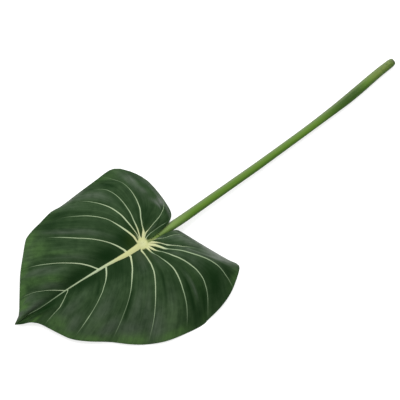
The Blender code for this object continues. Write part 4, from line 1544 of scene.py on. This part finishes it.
@dataclass
class Blade:
    """The heart-shaped blade, with the stub and peg on its underside that the stem plugs onto.

    The sheet thins from rim_start, a share of each vein's length, to rim_share of itself at the margin.
    Ridge, boss and keel are the heights of relief on the two faces. The stub's rows are (x, y, z, radius).
    """

    net: Net
    stem: Stem
    sheet: float = 0.9
    rim_share: float = 0.55
    rim_start: float = 0.97
    vein_ridge: float = 0.6
    vein_rise: tuple = (0.35, 0.45)
    root_share: float = 0.06
    rib_spread: tuple = (0.85, 0.25)
    rib_taper: float = 0.5
    midrib_ridge: float = 1.9
    midrib_keel: float = 2.8
    hub_boss: float = 2.2
    hub_keel: float = 2.4
    hub_reach: float = 9.0
    level_reach: float = 7.0
    stub: tuple = (
        (-6, 3.6, 30.5, 5.6), (0, 2.6, 27.2, 5.3), (8, 1.2, 23.6, 5.2), (15, 0.5, 21.8, 5.3),
        (21.7, 0.2, 21, 5.5),
    )
    stub_rings: int = 24
    stub_sides: int = 48
    clearance: float = 0.3
    peg_radius: float = 2.7
    peg_length: float = 13.0
    peg_chamfer: float = 0.6
    sharp_angle: float = math.radians(60)

    def sheet_points(self) -> tuple[np.ndarray, np.ndarray, dict[str, np.ndarray]]:
        """Joins the two halves of the sheet along the midrib and the notch.

        Returns:
            The points, the triangles and what the points carry.
        """
        points, triangles, index = [], [], {}
        carried: dict[str, list[float]] = {}
        last_station = len(self.net.stations) - 1
        for half in (LEFT, RIGHT):
            u = self.net.columns(half)
            grid, spacing = self.net.grid(half, u)
            marks = self.net.marks(half, u, grid, spacing)
            numbers = np.empty(spacing.shape, int)
            for i, j in np.ndindex(*spacing.shape):
                if j == 0:
                    key = "tip"
                elif i == 0:
                    key = ("rib", min(j, last_station))
                elif j == len(u) - 1 and self.net.shares[i] <= self.net.near + 1e-9:
                    key = ("seam", i)
                else:
                    key = (half.side, i, j)
                if key not in index:
                    index[key] = len(points)
                    points.append(grid[i, j])
                    for name, values in marks.items():
                        carried.setdefault(name, []).append(values[i, j])
                numbers[i, j] = index[key]
            triangles.append(self.weave(numbers, half.side))
        carried_arrays = {name: np.array(values) for name, values in carried.items()}
        return np.array(points), np.vstack(triangles), carried_arrays

    @staticmethod
    def weave(numbers: np.ndarray, side: Side) -> np.ndarray:
        """The triangles of a grid, facing up, without those that have shrunk to a line.

        Args:
            numbers: the grid's point numbers.
            side: the half that it is.

        Returns:
            Rows of three point numbers.
        """
        a, b = numbers[:-1, :-1].ravel(), numbers[:-1, 1:].ravel()
        d, c = numbers[1:, :-1].ravel(), numbers[1:, 1:].ravel()
        found = np.concatenate([np.stack([a, b, c], axis=1), np.stack([a, c, d], axis=1)])
        whole = (found[:, 0] != found[:, 1]) & (found[:, 1] != found[:, 2]) & (found[:, 0] != found[:, 2])
        found = found[whole]
        return found if side is Side.LEFT else found[:, ::-1]

    def normals(self, points: np.ndarray, triangles: np.ndarray) -> np.ndarray:
        """The sheet's direction at each point, which turns to straight up at the hub.

        Args:
            points: the sheet's points.
            triangles: the sheet's triangles.

        Returns:
            One unit vector for each point.
        """
        corners = points[triangles]
        faces = np.cross(corners[:, 1] - corners[:, 0], corners[:, 2] - corners[:, 0])
        normals = np.zeros_like(points)
        for k in range(3):
            np.add.at(normals, triangles[:, k], faces)
        normals /= np.linalg.norm(normals, axis=1)[:, None]
        from_hub = np.hypot(points[:, 0] - HUB[0], points[:, 1] - HUB[1])
        level = np.exp(-(from_hub / self.level_reach) ** 2)[:, None]
        normals = normals * (1 - level) + np.array((0, 0, 1)) * level
        return normals / np.linalg.norm(normals, axis=1)[:, None]

    @staticmethod
    def rim(triangles: np.ndarray) -> list[tuple[int, int]]:
        """The sheet's open edges, each in the direction of its triangle.

        Args:
            triangles: the sheet's triangles.

        Returns:
            Pairs of point numbers.
        """
        edges = np.concatenate([triangles[:, [0, 1]], triangles[:, [1, 2]], triangles[:, [2, 0]]]).tolist()
        seen = {(a, b) for a, b in edges}
        return [(a, b) for a, b in seen if (b, a) not in seen]

    def host(self) -> bpy.types.Object:
        """Makes the closed sheet with no relief yet, carrying what the relief and the finishes read.

        Returns:
            The sheet.
        """
        points, triangles, carried = self.sheet_points()
        normals = self.normals(points, triangles)
        to_rim = smooth_step((carried["share"] - self.rim_start) / (1 - self.rim_start))
        half = (self.sheet / 2 * (1 - (1 - self.rim_share) * to_rim))[:, None] * normals
        count = len(points)
        faces = triangles.tolist() + (triangles[:, ::-1] + count).tolist()
        faces += [(b, a, a + count, b + count) for a, b in sorted(self.rim(triangles))]
        blade = new_object("leaf_blade", np.vstack([points + half, points - half]), [], faces)
        for name, values in carried.items():
            carry(blade.data, name, np.tile(values, 2))
        carry(blade.data, "lift", np.vstack([normals, -normals]))
        carry(blade.data, "under", np.repeat([0.0, 1.0], count))
        return blade

    def relief(self, blade: bpy.types.Object, face: bpy.types.Material,
               back: bpy.types.Material) -> bpy.types.Object:
        """Raises the veins, the midrib and the hub from both faces, by Geometry Nodes.

        Args:
            blade: the closed sheet.
            face: the upper face's material.
            back: the underside's material.

        Returns:
            The blade as a plain mesh.
        """
        growth = Growth("leaf relief")
        vein_ridge = growth.size("Vein Ridge", self.vein_ridge * MM)
        midrib_ridge = growth.size("Midrib Ridge", self.midrib_ridge * MM)
        midrib_keel = growth.size("Midrib Keel", self.midrib_keel * MM)
        hub_boss = growth.size("Hub Boss", self.hub_boss * MM)
        hub_keel = growth.size("Hub Keel", self.hub_keel * MM)
        hub_reach = growth.size("Hub Reach", self.hub_reach)
        face_cover, back_cover = growth.material("Face", face), growth.material("Back", back)

        under = growth.attribute("under")
        gap, half = growth.attribute("vein_gap"), growth.attribute("vein_half")
        vein = self.hump(growth, gap, half) * growth.attribute("vein_show")
        vein = vein * growth.attribute("share").step(0.0, self.root_share)
        rib_half = growth.attribute("rib_half")
        by_width, more = self.rib_spread
        rib = self.hump(growth, growth.attribute("rib_gap"), rib_half * by_width + more)
        rib = rib * (rib_half / self.net.rib_width[-1][1]) ** self.rib_taper
        hub = self.hump(growth, growth.attribute("hub_gap"), hub_reach)
        height = growth.largest(
            vein * vein_ridge * (self.vein_rise[0] + half * self.vein_rise[1]),
            rib * (midrib_ridge + (midrib_keel - midrib_ridge) * under),
            hub * (hub_boss + (hub_keel - hub_boss) * under),
        )
        lift = growth.node("GeometryNodeInputNamedAttribute", {"data_type": "FLOAT_VECTOR"}, {"Name": "lift"})
        raised = growth.lifted(growth.entry.outputs["Geometry"], lift.outputs[0], height)
        backed = growth.node("GeometryNodeSetMaterial", None, {"Geometry": raised, "Material": back_cover})
        # The joined edge between the two faces takes the underside's material
        on_top = growth.node("FunctionNodeCompare", {"operation": "LESS_THAN"}, {0: under, 1: 0.25})
        faced = growth.node(
            "GeometryNodeSetMaterial", None,
            {"Geometry": backed.outputs[0], "Selection": on_top.outputs[0], "Material": face_cover},
        )
        return growth.run(blade, faced.outputs[0])

    @staticmethod
    def hump(growth: Growth, gap: Number, half: Number) -> Number:
        """A round ridge of height 1 whose height falls away as the gap passes the half width."""
        ratio = gap / half
        return growth.math("EXPONENT", ratio * ratio * -1.0)

    def stub_object(self, skin: bpy.types.Material) -> bpy.types.Object:
        """The stub that leaves the hub's underside and ends in the peg.

        Args:
            skin: the stub's material.

        Returns:
            The stub, for a union with the blade.
        """
        start = self.stem.path[0][0]
        forward = self.stem.direction(start)
        mouth = np.array(self.stem.path[0][:3])
        line = SmoothLine([p[0] for p in self.stub], self.stub)
        marks = np.linspace(self.stub[0][0], self.stub[-1][0], self.stub_rings)[:-1]
        here, ahead, behind = line.at(marks), line.at(marks + 0.5), line.at(marks - 0.5)
        rings = [(h[:3], a[:3] - b[:3], h[3]) for h, a, b in zip(here, ahead, behind)]
        face = mouth - forward * self.clearance
        tip = mouth + forward * self.peg_length
        rings += [(face, forward, self.stub[-1][3]), (face, forward, self.peg_radius)]
        rings += [(tip - forward * self.peg_chamfer, forward, self.peg_radius)]
        rings += [(tip, forward, self.peg_radius - self.peg_chamfer)]
        points, faces = swept(rings, self.stub_sides)
        stub = new_object("stub", points, [], faces)
        stub.data.materials.append(skin)
        return stub

    def build(self) -> bpy.types.Object:
        """Makes the blade, joins the stub to it and sets it in the frame.

        Returns:
            The blade.
        """
        blade = self.relief(self.host(), LeafFinish().make(), LeafBackFinish().make())
        stub = self.stub_object(StubFinish().make())
        join = blade.modifiers.new("join stub", "BOOLEAN")
        join.operation = "UNION"
        join.solver = "MANIFOLD"
        join.material_mode = "TRANSFER"
        join.object = stub
        plain_mesh(blade)
        bpy.data.objects.remove(stub)
        blade.data.shade_smooth()
        blade.data.set_sharp_from_angle(angle=self.sharp_angle)
        keep_inside(blade.data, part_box("blade"))
        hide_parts("blade")
        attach(blade, "root")
        return blade


@dataclass
class Studio:
    """A pale floor, soft lights and a camera that looks straight down on the leaf, in metres."""

    photo_width: float = 0.652
    centre: tuple = (-0.0125, 0.0195, 0.02)
    turn: float = math.radians(36.3)
    camera_height: float = 5.0
    floor_size: float = 14.0
    floor_colour: Colour = (0.5, 0.5, 0.5, 1)
    floor_tint: float = 0.985
    floor_clouds: float = 3.0
    floor_roughness: float = 0.9
    key_power: float = 118.0
    key_size: tuple = (3.0, 2.4)
    key_distance: float = 2.8
    key_rise: float = math.radians(52)
    world_strength: float = 0.72
    floor_glow: float = 0.6

    def image_up(self) -> Vector:
        """The direction on the floor that is up in the picture."""
        return Vector((math.sin(self.turn), math.cos(self.turn), 0))

    def add_floor(self) -> None:
        """Adds the floor that the leaf lies on."""
        reach = self.floor_size / 2
        mesh = bpy.data.meshes.new("floor")
        corners = [(-reach, -reach, 0), (reach, -reach, 0), (reach, reach, 0), (-reach, reach, 0)]
        mesh.from_pydata(corners, [], [(0, 1, 2, 3)])
        floor = bpy.data.objects.new("floor", mesh)
        bpy.context.scene.collection.objects.link(floor)
        paint = Paint("floor_paper")
        paint.shader.inputs["Emission Color"].default_value = (1, 1, 1, 1)
        low = (*(self.floor_tint * part for part in self.floor_colour[:3]), 1)
        paper = paint.mix(paint.noise(paint.place(), self.floor_clouds), low, self.floor_colour)
        mesh.materials.append(paint.finish(paper, self.floor_roughness, Emission_Strength=self.floor_glow))

    def add_lights(self) -> None:
        """Adds the soft key light and the world's fill."""
        data = bpy.data.lights.new("key", "AREA")
        data.shape = "RECTANGLE"
        data.size, data.size_y = self.key_size
        data.energy = self.key_power
        key = bpy.data.objects.new("key", data)
        bpy.context.scene.collection.objects.link(key)
        centre = Vector(self.centre)
        towards = self.image_up() * math.cos(self.key_rise) + Vector((0, 0, math.sin(self.key_rise)))
        key.location = centre + towards * self.key_distance
        key.rotation_euler = towards.to_track_quat("Z", "Y").to_euler()
        world = bpy.data.worlds.new("studio")
        world.use_nodes = True
        background = world.node_tree.nodes["Background"]
        background.inputs["Color"].default_value = (1, 1, 1, 1)
        background.inputs["Strength"].default_value = self.world_strength
        bpy.context.scene.world = world

    def add_camera(self) -> None:
        """Adds the camera, far above, so that height hardly shifts what it sees."""
        data = bpy.data.cameras.new("camera")
        data.lens = data.sensor_width * (self.camera_height - self.centre[2]) / self.photo_width
        camera = bpy.data.objects.new("camera", data)
        bpy.context.scene.collection.objects.link(camera)
        up = self.image_up()
        across = up.cross(Vector((0, 0, 1)))
        turned = Matrix((across, up, Vector((0, 0, 1)))).transposed().to_4x4()
        turned.translation = (self.centre[0], self.centre[1], self.camera_height)
        camera.matrix_world = turned
        bpy.context.scene.camera = camera

    def build(self) -> None:
        """Sets the studio up."""
        bpy.context.scene.view_settings.view_transform = "Standard"
        self.add_floor()
        self.add_lights()
        self.add_camera()


def main() -> None:
    """Builds the leaf's pieces and the studio in order."""
    logging.basicConfig(level=logging.INFO, format="%(message)s")
    stem = Stem()
    for piece in (stem.build(), Blade(Net(), stem).build()):
        LOG.info("%s: %d faces", piece.name, len(piece.data.polygons))
    Studio().build()


if __name__ == "__main__":
    main()
